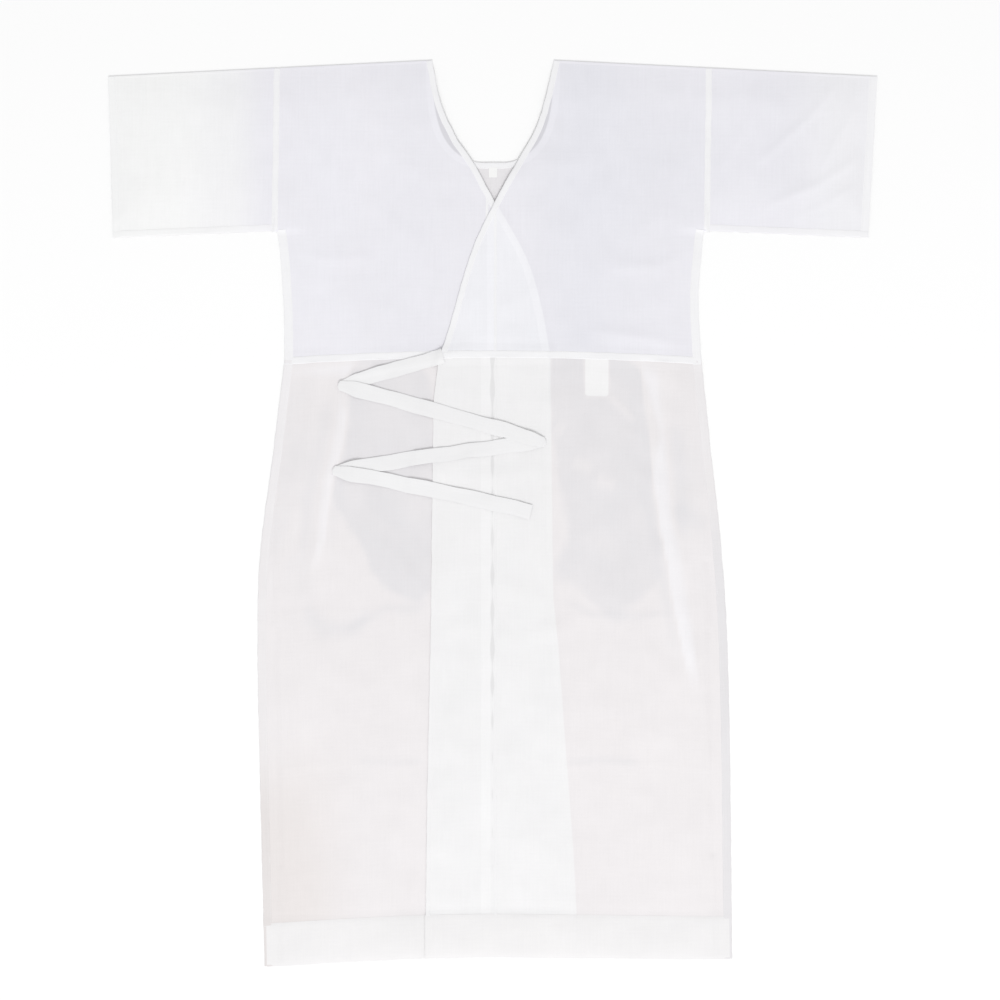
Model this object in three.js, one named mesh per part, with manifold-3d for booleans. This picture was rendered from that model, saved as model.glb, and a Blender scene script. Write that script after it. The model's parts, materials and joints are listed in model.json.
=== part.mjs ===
// Wrap-front patient gown, laid flat on its back with its front uppermost and the wearer's left
// front over the right one.
//
// Millimetres. +X is the wearer's left, +Y runs from the hem to the shoulders, and +Z is up, out of
// the front. The origin is the middle of the outline, on the surface that the gown lies on.
//
// Every panel is flat and sits in one of three layers: the back, the under front and the over front.
// Each layer is cut from its own full outline. The seams, hems and bindings are cut out of it first,
// as bands a little thicker than the cloth, and what is left between them is the panels. Where the
// over front turns back about its fold line, it is cut there into a fixed side and a flap.

import * as THREE from 'three';
import { mergeVertices } from 'three/addons/utils/BufferGeometryUtils.js';
import Module from 'manifold-3d';

const wasm = await Module();
wasm.setup();

// ---------------------------------------------------------------- driving dimensions

const GAP = 0.3; // between any two pieces
const CLOTH = 0.8; // a single layer of cloth
const TRIM = 1.6; // a hem, seam or binding, which is two or more layers

// Heights of the underside of each layer.
const BACK_Z = 0;
const UNDER_Z = 2.4;
const OVER_Z = 4.8;
const TIE_Z = 6.8;

// Whole gown.
const LENGTH = 1175; // neck point to hem
const HALF_SPAN = 500; // centre back to the tip of a sleeve
const TOP = LENGTH / 2;
const HEM = -LENGTH / 2;

// Shoulders, neck and armholes.
const NECK_HALF = 79; // centre to the neck point, where the shoulder line starts
const SHOULDER_DROP = 21; // neck point down to the tip of the sleeve
const BACK_NECK_DEPTH = 131;
const ARMHOLE = 285; // outer edge of the armhole seam
const ARMHOLE_SEAM = 8;
const UNDERARM = TOP - 220; // bottom of the armhole

// Sleeves.
const SLEEVE_TIP_BOTTOM = new THREE.Vector2(491, TOP - 228);
const CUFF_HEM = 13;
const UNDERARM_SEAM = 8;

// Waist, skirt and overlaps.
const WAIST = TOP - 382; // centre line of the waist seam
const WAIST_SEAM = 10;
const HEM_DEPTH = 57;
const SIDE_SEAM = 10;
const OVERLAP_SEAM_X = 6.5; // centre of the seam between a front and its overlap panel
const OVERLAP_SEAM = 5;
const BINDING = 9;
const EDGE_HEM = 6;
const OVER_LAP = 70; // how far the over front passes the centre at the waist
const UNDER_LAP = 74; // how far the under front passes it there
const FOLD = 1.5; // the cloth turning over along a shoulder

// Where the over front turns back.
const FLAP_FOLD_TOP = new THREE.Vector2(NECK_HALF + BINDING + 1, TOP);
const FLAP_FOLD_HEM = new THREE.Vector2(190, HEM);

// Tie and labels.
const TIE_WIDTH = 20;
const TIE = 1;
const TIE_PIVOT = new THREE.Vector2(-62, WAIST - 1);
const TIE_START = 14; // from the pivot to the tie's sewn end
const TIE_FOLDS = [
  new THREE.Vector2(-197.5, 168.5),
  new THREE.Vector2(65, 90),
  new THREE.Vector2(-204, 57),
  new THREE.Vector2(49.5, -2),
];
const TIE_TURN = 8; // length of each fold
const ROOT_PATCH = { width: 18, height: 16 };
const CARE_LABEL = { x: 135, width: 30, height: 58, thickness: 0.6 };
const SIZE_LABEL = { width: 11, height: 11, thickness: 0.4 };

const FAR = 1500; // well outside the gown
const OUTSIDE = 15; // how far a cutter reaches past the edge that it follows
const CURVE_STEPS = 16;

// ---------------------------------------------------------------- materials

function cloth(color, roughness) {
  return new THREE.MeshStandardMaterial({ color, roughness, metalness: 0 });
}

const GAUZE = cloth(0xe8e7ed, 0.95);
const SKIRT_CLOTH = cloth(0xedeaec, 0.85);
const TAPE = cloth(0xf6f7f7, 0.9);
const LABEL = cloth(0xfafafa, 0.6);

// ---------------------------------------------------------------- plane shapes

const point = (x, y) => new THREE.Vector2(x, y);

const mirrored = (points) => points.map((p) => point(-p.x, p.y)).reverse();

const rectangle = (x0, y0, x1, y1) => [point(x0, y0), point(x1, y0), point(x1, y1), point(x0, y1)];

// The points of a line moved sideways by a distance, to the right of its direction.
function moved(line, distance) {
  return line.map((p, i) => {
    const before = line[Math.max(i - 1, 0)];
    const after = line[Math.min(i + 1, line.length - 1)];
    const along = after.clone().sub(before).normalize();
    return point(p.x + along.y * distance, p.y - along.x * distance);
  });
}

// A line made longer at both ends, so that a band along it cuts right through an outline.
function extended(line, distance) {
  const first = line[0].clone().sub(line[1]).setLength(distance).add(line[0]);
  const last = line.at(-1).clone().sub(line.at(-2)).setLength(distance).add(line.at(-1));
  return [first, ...line.slice(1, -1), last];
}

// The strip between two distances to the right of a line.
const band = (line, from, to) => [...moved(line, from), ...moved(line, to).reverse()];

// Height of the shoulder line, which runs straight from the neck point to the tip of the sleeve.
function shoulder(x) {
  return TOP - (SHOULDER_DROP * (x - NECK_HALF)) / (HALF_SPAN - NECK_HALF);
}

// Edge of a front from the neck point down to its corner at the waist, drawn for the wearer's left.
const OVER_NECKLINE = new THREE.SplineCurve([
  point(NECK_HALF, TOP),
  point(67, 535),
  point(33, 458),
  point(-19, 360),
  point(-49, 268),
  point(-OVER_LAP, WAIST),
]).getPoints(CURVE_STEPS * 2);

const UNDER_NECKLINE = new THREE.SplineCurve([
  point(NECK_HALF, TOP),
  point(69, 535),
  point(27, 457),
  point(-41, 333),
  point(-61, 273),
  point(-UNDER_LAP, WAIST),
]).getPoints(CURVE_STEPS * 2);

// Free edge of a front from its corner at the waist down to the hem, drawn the same way.
const OVER_EDGE = [
  point(-OVER_LAP, WAIST),
  point(-77.5, 145),
  point(-80.5, -140),
  point(-86, -374),
  point(-89, HEM),
];
const UNDER_EDGE = [
  point(-UNDER_LAP, WAIST),
  point(-78, -114),
  point(-84.5, -179),
  point(-94.5, -322),
  point(-103, -439),
  point(-110, HEM),
];

// Half of the back neckline, from the neck point to the centre back.
const BACK_NECK = new THREE.SplineCurve([
  point(NECK_HALF, TOP),
  point(74, 533),
  point(64, 492),
  point(46, 467),
  point(24, TOP - BACK_NECK_DEPTH + 1),
  point(0, TOP - BACK_NECK_DEPTH),
]).getPoints(CURVE_STEPS);

// Side of the body, from the underarm to the waist, and of the skirt, from the waist to the hem.
const BODICE_SIDE = new THREE.SplineCurve([
  point(277, UNDERARM),
  point(270, 290),
  point(271, WAIST),
]).getPoints(CURVE_STEPS / 2);

const SKIRT_SIDE = new THREE.SplineCurve([
  point(271, WAIST),
  point(284, 90),
  point(301, -60),
  point(306, -230),
  point(304, HEM),
]).getPoints(CURVE_STEPS);

const SIDE = [...BODICE_SIDE, ...SKIRT_SIDE.slice(1)];

// ---------------------------------------------------------------- solids

function toSolid(geometry) {
  geometry.deleteAttribute('normal');
  geometry.deleteAttribute('uv');
  const merged = mergeVertices(geometry);
  return new wasm.Manifold(
    new wasm.Mesh({
      numProp: 3,
      vertProperties: new Float32Array(merged.attributes.position.array),
      triVerts: new Uint32Array(merged.index.array),
    })
  );
}

// A flat outline, extruded from one height to another.
function slab(points, bottom, top) {
  const geometry = new THREE.ExtrudeGeometry(new THREE.Shape(points), {
    depth: top - bottom,
    bevelEnabled: false,
  });
  geometry.translate(0, 0, bottom);
  return toSolid(geometry);
}

// A cutter that passes through every layer.
const through = (points) => slab(points, -50, 50);

const gown = new THREE.Group();

function add(name, solid, material) {
  const mesh = solid.getMesh();
  const geometry = new THREE.BufferGeometry();
  geometry.setAttribute('position', new THREE.BufferAttribute(mesh.vertProperties, 3));
  geometry.setIndex(new THREE.BufferAttribute(mesh.triVerts, 1));
  geometry.computeVertexNormals();
  const piece = new THREE.Mesh(geometry, material);
  piece.name = name;
  gown.add(piece);
}

// Turns a shape drawn for the wearer's left side into the one for the given side.
const onSide = (side, points) => (side > 0 ? points : mirrored(points));

// ---------------------------------------------------------------- bands shared by the layers

// Each band is { exact, room }: its own outline, and the outline that it cuts from its neighbours.

const WAIST_LOW = WAIST - WAIST_SEAM / 2;
const WAIST_HIGH = WAIST + WAIST_SEAM / 2;
const WAIST_BAND = {
  exact: rectangle(-FAR, WAIST_LOW, FAR, WAIST_HIGH),
  room: rectangle(-FAR, WAIST_LOW - GAP, FAR, WAIST_HIGH + GAP),
};
const HEM_BAND = {
  exact: rectangle(-FAR, HEM, FAR, HEM + HEM_DEPTH),
  room: rectangle(-FAR, -FAR, FAR, HEM + HEM_DEPTH + GAP),
};

const ABOVE_WAIST = through(rectangle(-FAR, WAIST, FAR, FAR));
const BELOW_WAIST = through(rectangle(-FAR, -FAR, FAR, WAIST));

// Strips that join the front to the back at one side: the turn of the cloth along the shoulder, the
// armhole seam, and the side seam above and below the waist.
function edgeStrips(side) {
  const shoulderLine = [point(ARMHOLE + FAR, shoulder(ARMHOLE + FAR)), point(NECK_HALF, TOP)];
  const inner = ARMHOLE - ARMHOLE_SEAM;
  const low = UNDERARM - GAP;
  return {
    shoulder: {
      exact: onSide(side, [
        point(NECK_HALF, TOP),
        point(NECK_HALF, TOP - FOLD),
        point(inner - GAP, shoulder(inner - GAP) - FOLD),
        point(inner - GAP, shoulder(inner - GAP)),
      ]),
      room: onSide(side, [
        ...moved(shoulderLine, -FOLD - GAP),
        ...moved(shoulderLine, FAR).reverse(),
      ]),
    },
    armhole: {
      exact: onSide(side, [
        point(inner, UNDERARM),
        point(ARMHOLE, UNDERARM),
        point(ARMHOLE, shoulder(ARMHOLE)),
        point(inner, shoulder(inner)),
      ]),
      room: onSide(side, rectangle(inner - GAP, UNDERARM - GAP, FAR, FAR)),
    },
    side: {
      exact: onSide(side, band(SIDE, 0, SIDE_SEAM)),
      room: onSide(side, [
        point(FAR, low),
        ...moved(SIDE, SIDE_SEAM + GAP).map((p) => point(p.x, Math.min(p.y, low))),
        point(SIDE.at(-1).x - SIDE_SEAM - GAP, -FAR),
        point(FAR, -FAR),
      ]),
    },
  };
}

// ---------------------------------------------------------------- edges where front meets back

function addEdges(side, name, top) {
  const strips = edgeStrips(side);
  const sideStrip = slab(strips.side.exact, BACK_Z, top).subtract(
    through(rectangle(-FAR, UNDERARM - GAP, FAR, FAR))
  );
  const waistGap = through(rectangle(-FAR, WAIST - GAP / 2, FAR, WAIST + GAP / 2));
  const parted = sideStrip.subtract(waistGap);
  add(`shoulder_fold_${name}`, slab(strips.shoulder.exact, BACK_Z, top), GAUZE);
  add(`armhole_seam_${name}`, slab(strips.armhole.exact, BACK_Z, top), TAPE);
  add(`side_seam_bodice_${name}`, parted.intersect(ABOVE_WAIST), TAPE);
  add(`side_seam_skirt_${name}`, parted.intersect(BELOW_WAIST), TAPE);
}

function roomForEdges(solid, side) {
  const strips = edgeStrips(side);
  return solid
    .subtract(through(strips.shoulder.room))
    .subtract(through(strips.armhole.room))
    .subtract(through(strips.side.room));
}

// ---------------------------------------------------------------- back

function addBack() {
  const leftNeck = BACK_NECK.slice(0, -1);
  const neck = [...BACK_NECK, ...mirrored(leftNeck)];
  const leftSide = [point(ARMHOLE, shoulder(ARMHOLE)), point(ARMHOLE, UNDERARM), ...SIDE];
  const outline = [...neck.slice().reverse(), ...leftSide, ...mirrored(leftSide)];
  const inEdges = (solid) => roomForEdges(roomForEdges(solid, 1), -1);
  const layer = inEdges(slab(outline, BACK_Z, BACK_Z + CLOTH));
  const trims = inEdges(slab(outline, BACK_Z, BACK_Z + TRIM));

  const neckBand = {
    exact: band(neck, -BINDING, OUTSIDE),
    room: band(neck, -BINDING - GAP, OUTSIDE),
  };
  add('back_neck_binding', trims.intersect(through(neckBand.exact)), TAPE);
  add('back_waist_seam', trims.intersect(through(WAIST_BAND.exact)), TAPE);
  add('back_hem', trims.intersect(through(HEM_BAND.exact)), TAPE);

  const panels = layer
    .subtract(through(neckBand.room))
    .subtract(through(WAIST_BAND.room))
    .subtract(through(HEM_BAND.room));
  add('back_bodice', panels.intersect(ABOVE_WAIST), GAUZE);
  add('back_skirt', panels.intersect(BELOW_WAIST), SKIRT_CLOTH);

  const labelTop = TOP - BACK_NECK_DEPTH - BINDING - GAP;
  const labelBottom = BACK_Z + CLOTH + GAP;
  const half = SIZE_LABEL.width / 2;
  add(
    'size_label',
    slab(
      rectangle(-half, labelTop - SIZE_LABEL.height, half, labelTop),
      labelBottom,
      labelBottom + SIZE_LABEL.thickness
    ),
    LABEL
  );
}

// ---------------------------------------------------------------- fronts

// One front's pieces, as solids, before anything is named. Drawn for the wearer's left side.
function frontSolids(side, z, neckline, freeEdge) {
  const outerEdge = [...SIDE.slice().reverse(), point(ARMHOLE, UNDERARM)];
  const outline = onSide(side, [
    ...neckline,
    ...freeEdge.slice(1),
    ...outerEdge,
    point(ARMHOLE, shoulder(ARMHOLE)),
  ]);
  const layer = roomForEdges(slab(outline, z, z + CLOTH), side);
  const trims = roomForEdges(slab(outline, z, z + TRIM), side);

  const turned = (points) => through(onSide(side, points));
  const aboveEnd = through(rectangle(-FAR, WAIST_LOW, FAR, FAR));
  const belowEnd = through(rectangle(-FAR, -FAR, FAR, WAIST_LOW - GAP));
  // Right of a line that runs downwards is outside the front, so the bands lie to its left.
  const neckPath = [...neckline, point(freeEdge[0].x, WAIST - WAIST_SEAM)];
  const binding = trims.intersect(turned(band(neckPath, -BINDING, 0))).intersect(aboveEnd);
  const bindingRoom = turned(band(neckPath, -BINDING - GAP, OUTSIDE)).intersect(
    through(rectangle(-FAR, WAIST_LOW - GAP, FAR, FAR))
  );

  const longEdge = extended(freeEdge, 20);
  const hem = trims.intersect(turned(HEM_BAND.exact));
  const edgeHem = trims
    .intersect(turned(band(longEdge, -EDGE_HEM, OUTSIDE)))
    .intersect(belowEnd)
    .subtract(turned(HEM_BAND.room));
  const edgeRoom = turned(band(longEdge, -EDGE_HEM - GAP, OUTSIDE)).intersect(
    through(rectangle(-FAR, HEM + HEM_DEPTH + GAP, FAR, WAIST_LOW))
  );

  const waist = trims.intersect(turned(WAIST_BAND.exact)).subtract(bindingRoom);
  const seamLeft = OVERLAP_SEAM_X - OVERLAP_SEAM / 2;
  const seamRight = OVERLAP_SEAM_X + OVERLAP_SEAM / 2;
  const allRoom = [bindingRoom, edgeRoom, turned(WAIST_BAND.room), turned(HEM_BAND.room)];
  const clear = (solid) => allRoom.reduce((left, cutter) => left.subtract(cutter), solid);

  const overlapSeam = clear(trims.intersect(turned(rectangle(seamLeft, -FAR, seamRight, FAR))));
  const panels = clear(layer).subtract(
    turned(rectangle(seamLeft - GAP, -FAR, seamRight + GAP, FAR))
  );
  const outer = turned(rectangle(seamRight, -FAR, FAR, FAR));
  const inner = turned(rectangle(-FAR, -FAR, seamLeft, FAR));
  return {
    binding,
    hem,
    edgeHem,
    waist,
    bodiceSeam: overlapSeam.intersect(ABOVE_WAIST),
    skirtSeam: overlapSeam.intersect(BELOW_WAIST),
    bodice: panels.intersect(outer).intersect(ABOVE_WAIST),
    skirt: panels.intersect(outer).intersect(BELOW_WAIST),
    bodiceOverlap: panels.intersect(inner).intersect(ABOVE_WAIST),
    skirtOverlap: panels.intersect(inner).intersect(BELOW_WAIST),
  };
}

function addOverlap(name, solids) {
  add(`${name}_neck_binding`, solids.binding, TAPE);
  add(`${name}_edge_hem`, solids.edgeHem, TAPE);
  add(`${name}_overlap_seam_bodice`, solids.bodiceSeam, TAPE);
  add(`${name}_overlap_seam_skirt`, solids.skirtSeam, TAPE);
  add(`${name}_overlap_bodice`, solids.bodiceOverlap, GAUZE);
  add(`${name}_overlap_skirt`, solids.skirtOverlap, SKIRT_CLOTH);
}

function addUnderFront() {
  const solids = frontSolids(-1, UNDER_Z, UNDER_NECKLINE, UNDER_EDGE);
  addOverlap('under', solids);
  add('under_front_bodice', solids.bodice, GAUZE);
  add('under_front_skirt', solids.skirt, SKIRT_CLOTH);
  add('under_waist_seam', solids.waist, TAPE);
  add('under_hem', solids.hem, TAPE);
}

// The over front, with each piece that crosses the fold line cut into its flap and its fixed side.
function addOverFront() {
  const solids = frontSolids(1, OVER_Z, OVER_NECKLINE, OVER_EDGE);
  addOverlap('over', solids);
  const fold = extended([FLAP_FOLD_TOP, FLAP_FOLD_HEM], 100);
  const flapSide = through(band(fold, GAP / 2, FAR));
  const fixedSide = through(band(fold, -FAR, -GAP / 2));
  const crossing = [
    ['over_front_bodice', solids.bodice, GAUZE],
    ['over_front_skirt', solids.skirt, SKIRT_CLOTH],
    ['over_waist_seam', solids.waist, TAPE],
    ['over_hem', solids.hem, TAPE],
  ];
  for (const [name, solid, material] of crossing) {
    add(`${name}_flap`, solid.intersect(flapSide), material);
    add(`${name}_side`, solid.intersect(fixedSide), material);
  }
}

// ---------------------------------------------------------------- sleeves

function addSleeve(side, name) {
  const inner = ARMHOLE + GAP;
  const tip = point(HALF_SPAN, shoulder(HALF_SPAN));
  const frontTop = UNDER_Z + CLOTH;
  const bottomLine = [point(inner, UNDERARM), SLEEVE_TIP_BOTTOM];
  const topLine = [tip, point(inner, shoulder(inner))];
  const cuffLine = [SLEEVE_TIP_BOTTOM, tip];
  const outline = onSide(side, [...bottomLine, ...topLine]);
  const whole = (bottom, top) => slab(outline, bottom, top);
  // The outline runs anticlockwise, so its inside is to the left of every edge.
  const edge = (line, width) => through(onSide(side, band(extended(line, 50), -width, OUTSIDE)));

  const fold = edge(topLine, FOLD);
  const underarm = edge(bottomLine, UNDERARM_SEAM);
  const cuff = edge(cuffLine, CUFF_HEM);
  const foldRoom = edge(topLine, FOLD + GAP);
  const underarmRoom = edge(bottomLine, UNDERARM_SEAM + GAP);
  const cuffRoom = edge(cuffLine, CUFF_HEM + GAP);

  add(`sleeve_${name}_top_fold`, whole(BACK_Z, frontTop).intersect(fold), GAUZE);
  add(`sleeve_${name}_underarm_seam`, whole(BACK_Z, frontTop).intersect(underarm), TAPE);
  for (const [layer, z] of [['back', BACK_Z], ['front', UNDER_Z]]) {
    const between = (top) => whole(z, top).subtract(foldRoom).subtract(underarmRoom);
    add(`sleeve_${name}_${layer}`, between(z + CLOTH).subtract(cuffRoom), GAUZE);
    add(`sleeve_${name}_cuff_hem_${layer}`, between(z + TRIM).intersect(cuff), TAPE);
  }
}

// ---------------------------------------------------------------- tie and label

// The tie is laid in a zigzag: its runs lie by turns low and high, and each fold joins two of them.
function addTie() {
  const start = TIE_FOLDS[0].clone().sub(TIE_PIVOT).setLength(TIE_START).add(TIE_PIVOT);
  const corners = [start, ...TIE_FOLDS];
  const levels = [TIE_Z, TIE_Z + TIE + GAP];
  const top = levels[1] + TIE;
  const half = TIE_WIDTH / 2;
  const runs = corners.slice(1).map((end, i) => {
    const z = levels[i % 2];
    return slab(band([corners[i], end], -half, half), z, z + TIE);
  });
  const turns = TIE_FOLDS.slice(0, -1).map((fold, i) => {
    const inward = corners[i].clone().sub(fold).setLength(TIE_TURN).add(fold);
    return slab(band([fold, inward], -half, half), TIE_Z, top);
  });
  const tie = [...runs, ...turns].reduce((whole, piece) => whole.add(piece));
  add('waist_tie', tie, TAPE);

  const { width, height } = ROOT_PATCH;
  const patch = rectangle(
    TIE_PIVOT.x - width / 2,
    TIE_PIVOT.y - height / 2,
    TIE_PIVOT.x + width / 2,
    TIE_PIVOT.y + height / 2
  );
  add('tie_root_patch', slab(patch, TIE_Z, TIE_Z + CLOTH), TAPE);
}

// The care label hangs inside, between the back and the over front, from the waist seam.
function addCareLabel() {
  const { x, width, height, thickness } = CARE_LABEL;
  const z = UNDER_Z;
  const labelTop = WAIST + WAIST_SEAM / 2;
  const outline = rectangle(x - width / 2, labelTop - height, x + width / 2, labelTop);
  add('care_label', slab(outline, z, z + thickness), LABEL);
}

// ---------------------------------------------------------------- the gown

addBack();
addEdges(-1, 'right', UNDER_Z + CLOTH);
addEdges(1, 'left', OVER_Z + CLOTH);
addUnderFront();
addOverFront();
addSleeve(-1, 'right');
addSleeve(1, 'left');
addTie();
addCareLabel();

export default gown;
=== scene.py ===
"""Patient gown laid flat with its front up: a wrap front with a crossed V neck, wide short sleeves, a
waist seam, a hemmed skirt and a long cloth tie. Metres, in the frame of the CAD model."""

import json
import math

import bpy
import numpy as np
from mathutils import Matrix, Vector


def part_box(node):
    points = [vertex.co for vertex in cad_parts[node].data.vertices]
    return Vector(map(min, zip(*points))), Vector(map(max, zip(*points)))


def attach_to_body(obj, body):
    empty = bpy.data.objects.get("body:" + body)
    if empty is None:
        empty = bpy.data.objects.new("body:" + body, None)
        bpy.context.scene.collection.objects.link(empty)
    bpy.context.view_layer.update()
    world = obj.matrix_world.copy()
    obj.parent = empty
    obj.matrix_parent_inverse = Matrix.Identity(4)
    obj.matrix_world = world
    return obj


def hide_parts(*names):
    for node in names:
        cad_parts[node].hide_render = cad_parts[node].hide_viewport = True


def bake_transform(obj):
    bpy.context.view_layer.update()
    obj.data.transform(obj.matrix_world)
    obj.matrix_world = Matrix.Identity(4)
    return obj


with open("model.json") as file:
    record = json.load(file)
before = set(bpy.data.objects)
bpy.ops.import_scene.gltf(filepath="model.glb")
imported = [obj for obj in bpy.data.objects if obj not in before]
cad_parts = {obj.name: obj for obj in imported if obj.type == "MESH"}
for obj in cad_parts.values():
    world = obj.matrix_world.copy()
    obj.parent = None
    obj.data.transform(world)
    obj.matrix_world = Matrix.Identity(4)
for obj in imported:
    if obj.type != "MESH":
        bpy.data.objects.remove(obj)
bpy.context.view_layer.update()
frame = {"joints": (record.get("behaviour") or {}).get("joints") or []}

# ---------------------------------------------------------------- sizes

CLOTH = 0.0004  # a single layer of cloth
TRIM = 0.0004  # how far a hem, seam or binding stands above the cloth
LAYER = 0.0008  # from one layer of the gown to the next
CLEAR = 0.0001  # between two layers where they are sewn together
FLOOR_GAP = 0.0004
STEP = 0.0042  # between the points of a cloth

BINDING = 0.0078
SIDE_SEAM = 0.011
OVERLAP_SEAM = 0.0036
WAIST_SEAM = 0.0095
EDGE_HEM = 0.006
UNDERARM_SEAM = 0.008
CUFF_HEM = 0.01
SHOULDER_DROP = 0.021
TIE_WIDTH = 0.0195
TIE_THICKNESS = 0.0006
LABEL = 0.0003
STITCH = 0.003  # pitch of the sewing
STITCH_WIDTH = 0.0008
STITCH_RISE = 0.00022
TUCK = 0.003  # how far a cloth reaches under the seam beside it
SHORT = 0.004  # how far short of the neck or the hem a band or panel stops
TURN = 0.003  # width of the strip where the cloth turns over along the shoulders
WOBBLE = 0.00035  # how uneven the width of a band is
# From the middle of a band to a row of its stitches.
SEWING = {"binding": 0.0028, "waist": 0.0034, "side": 0.0042, "sleeve": 0.0026, "edge": 0.0018,
          "overlap": 0.0009}
SEAM_END = 0.268  # how far out from the middle a waist seam runs
HEM_END = 0.301  # and a hem
FLAP_BEND = 0.03  # width over which the over front bends as it turns back
SLEEVE_BEND = (0.0005, 0.0135)  # where a sleeve's bend starts and ends, outwards from its fold line


def low(node, axis):
    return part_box(node)[0][axis]


def high(node, axis):
    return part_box(node)[1][axis]


def joint(name):
    return next(j for j in frame["joints"] if j["name"] == name)


def placed(name, data):
    """A new object in the scene."""
    obj = bpy.data.objects.new(name, data)
    bpy.context.scene.collection.objects.link(obj)
    return obj


TOP = high("over_neck_binding", 1)
WAIST = (low("back_waist_seam", 1) + high("back_waist_seam", 1)) / 2
HEM = low("back_hem", 1)
HEM_TOP = high("back_hem", 1)
UNDERARM = low("armhole_seam_left", 1)
ARM_IN = low("armhole_seam_left", 0)
ARM_OUT = high("armhole_seam_left", 0)
ARMHOLE = (ARM_IN + ARM_OUT) / 2
SPAN = high("sleeve_left_top_fold", 0)
SLEEVE_LOW = low("sleeve_left_underarm_seam", 1)
SLEEVE_LOW_X = SPAN - 0.009
NECK_HALF = low("shoulder_fold_left", 0)
BACK_NECK_Y = high("size_label", 1) + BINDING
SKIRT_END = HEM_TOP - 0.006  # the lower edge of the skirt's cloth, which lies inside its hem


# ---------------------------------------------------------------- lines of the pattern

def spline(points, steps=12):
    """A smooth line through the given points."""
    knots = np.array([points[0], *points, points[-1]], float)
    line = []
    for i in range(len(points) - 1):
        a, b, c, d = knots[i : i + 4]
        for t in np.arange(steps) / steps:
            cubic = (3 * b - a - 3 * c + d) * t**3
            line.append(0.5 * (2 * b + (c - a) * t + (2 * a - 5 * b + 4 * c - d) * t**2 + cubic))
    return np.array([*line, knots[-1]])


def along_line(line):
    """How far along a line each of its points is."""
    return np.concatenate([[0], np.cumsum(np.linalg.norm(np.diff(line, axis=0), axis=1))])


def even(line, count):
    """The same line as a number of points spaced evenly along it."""
    line = np.asarray(line, float)
    along = along_line(line)
    want = np.linspace(0, along[-1], count)
    return np.stack([np.interp(want, along, line[:, k]) for k in range(line.shape[1])], axis=1)


def length_of(line):
    return float(np.linalg.norm(np.diff(line, axis=0), axis=1).sum())


def count_for(line, step=STEP):
    return max(3, int(round(length_of(line) / step)) + 1)


def normals(line):
    """At each point of a line, the direction to the left of it."""
    along = np.gradient(line, axis=0)
    along /= np.linalg.norm(along, axis=1)[:, None]
    return np.stack([-along[:, 1], along[:, 0]], axis=1)


def offset(line, distance):
    """The line moved sideways, to the left of its direction."""
    return line + distance * normals(line)


def mirror(line):
    return np.asarray(line, float) * [-1, 1]


def smooth(value, start, end):
    t = np.clip((value - start) / (end - start), 0, 1)
    return t * t * (3 - 2 * t)


def shoulder_line(x):
    """Height of the shoulder line, which runs straight from the neck point to the tip of the sleeve."""
    return TOP - SHOULDER_DROP * (np.abs(x) - NECK_HALF) / (SPAN - NECK_HALF)


SHOULDER_END = shoulder_line(ARMHOLE)

# Free edge of the over front: down the neck to its corner at the waist, and on down to the hem.
OVER_NECK = spline([
    (NECK_HALF, TOP), (0.0676, 0.5356), (0.0546, 0.4966), (0.0325, 0.4576), (0.0091, 0.416),
    (-0.0195, 0.3595), (-0.0364, 0.313), (-0.0494, 0.2665), (-0.062, 0.225), (-0.07, WAIST),
])
OVER_EDGE = np.array([
    (-0.07, WAIST), (-0.073, 0.18), (-0.0775, 0.1456), (-0.0805, -0.14), (-0.086, -0.3744),
    (-0.089, HEM),
])
# The same edges of the under front, which run to the wearer's left.
UNDER_NECK = spline([
    (-NECK_HALF, TOP), (-0.0689, 0.5356), (-0.0494, 0.4901), (-0.0273, 0.4576), (0.0013, 0.4056),
    (0.0416, 0.3335), (0.0611, 0.2735), (0.0715, 0.219), (0.0741, WAIST),
])
UNDER_EDGE = np.array([
    (0.0741, WAIST), (0.078, -0.1144), (0.0845, -0.1794), (0.0945, -0.3224), (0.103, -0.4394),
    (0.11, HEM),
])
BACK_NECK = spline([
    (NECK_HALF, TOP), (0.0768, 0.533), (0.0668, 0.493), (0.0485, 0.4675),
    (0.024, BACK_NECK_Y + 0.001), (0, BACK_NECK_Y),
])
BACK_NECK_LINE = np.concatenate([BACK_NECK, mirror(BACK_NECK)[::-1][1:]])
SIDE = np.concatenate([
    spline([(0.277, UNDERARM), (0.27, 0.29), (0.271, WAIST)])[:-1],
    spline([(0.271, WAIST), (0.284, 0.09), (0.301, -0.06), (0.306, -0.23), (0.304, HEM)]),
])
OVER_SEAM_X = 0.003
UNDER_SEAM_X = -0.0078
TIE_ROOT = np.array([-0.062, WAIST - 0.001])


def across(line, y):
    """x of a line that runs down the gown, at the height y."""
    return np.interp(y, line[::-1, 1], line[::-1, 0])


OVER_LINE = np.concatenate([OVER_NECK, OVER_EDGE[1:]])
UNDER_LINE = np.concatenate([UNDER_NECK, UNDER_EDGE[1:]])


# ---------------------------------------------------------------- how the gown lies

# How far the body lies to one side of its own centre line, from the shoulders to the hem.
LEAN = np.array([(HEM, 0.007), (-0.3, 0.002), (-0.06, -0.003), (WAIST, 0.0), (0.29, -0.003),
                 (UNDERARM, -0.003), (0.47, -0.0015), (TOP, 0.0)])


def waist_rise(x):
    return -0.0002 - 0.0088 * (x / 0.27) ** 2


def hem_rise(x):
    right = np.maximum(0, -x) / 0.296
    left = np.maximum(0, x) / 0.311
    return 0.009 - 0.013 * right**1.6 - 0.0035 * left


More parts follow.
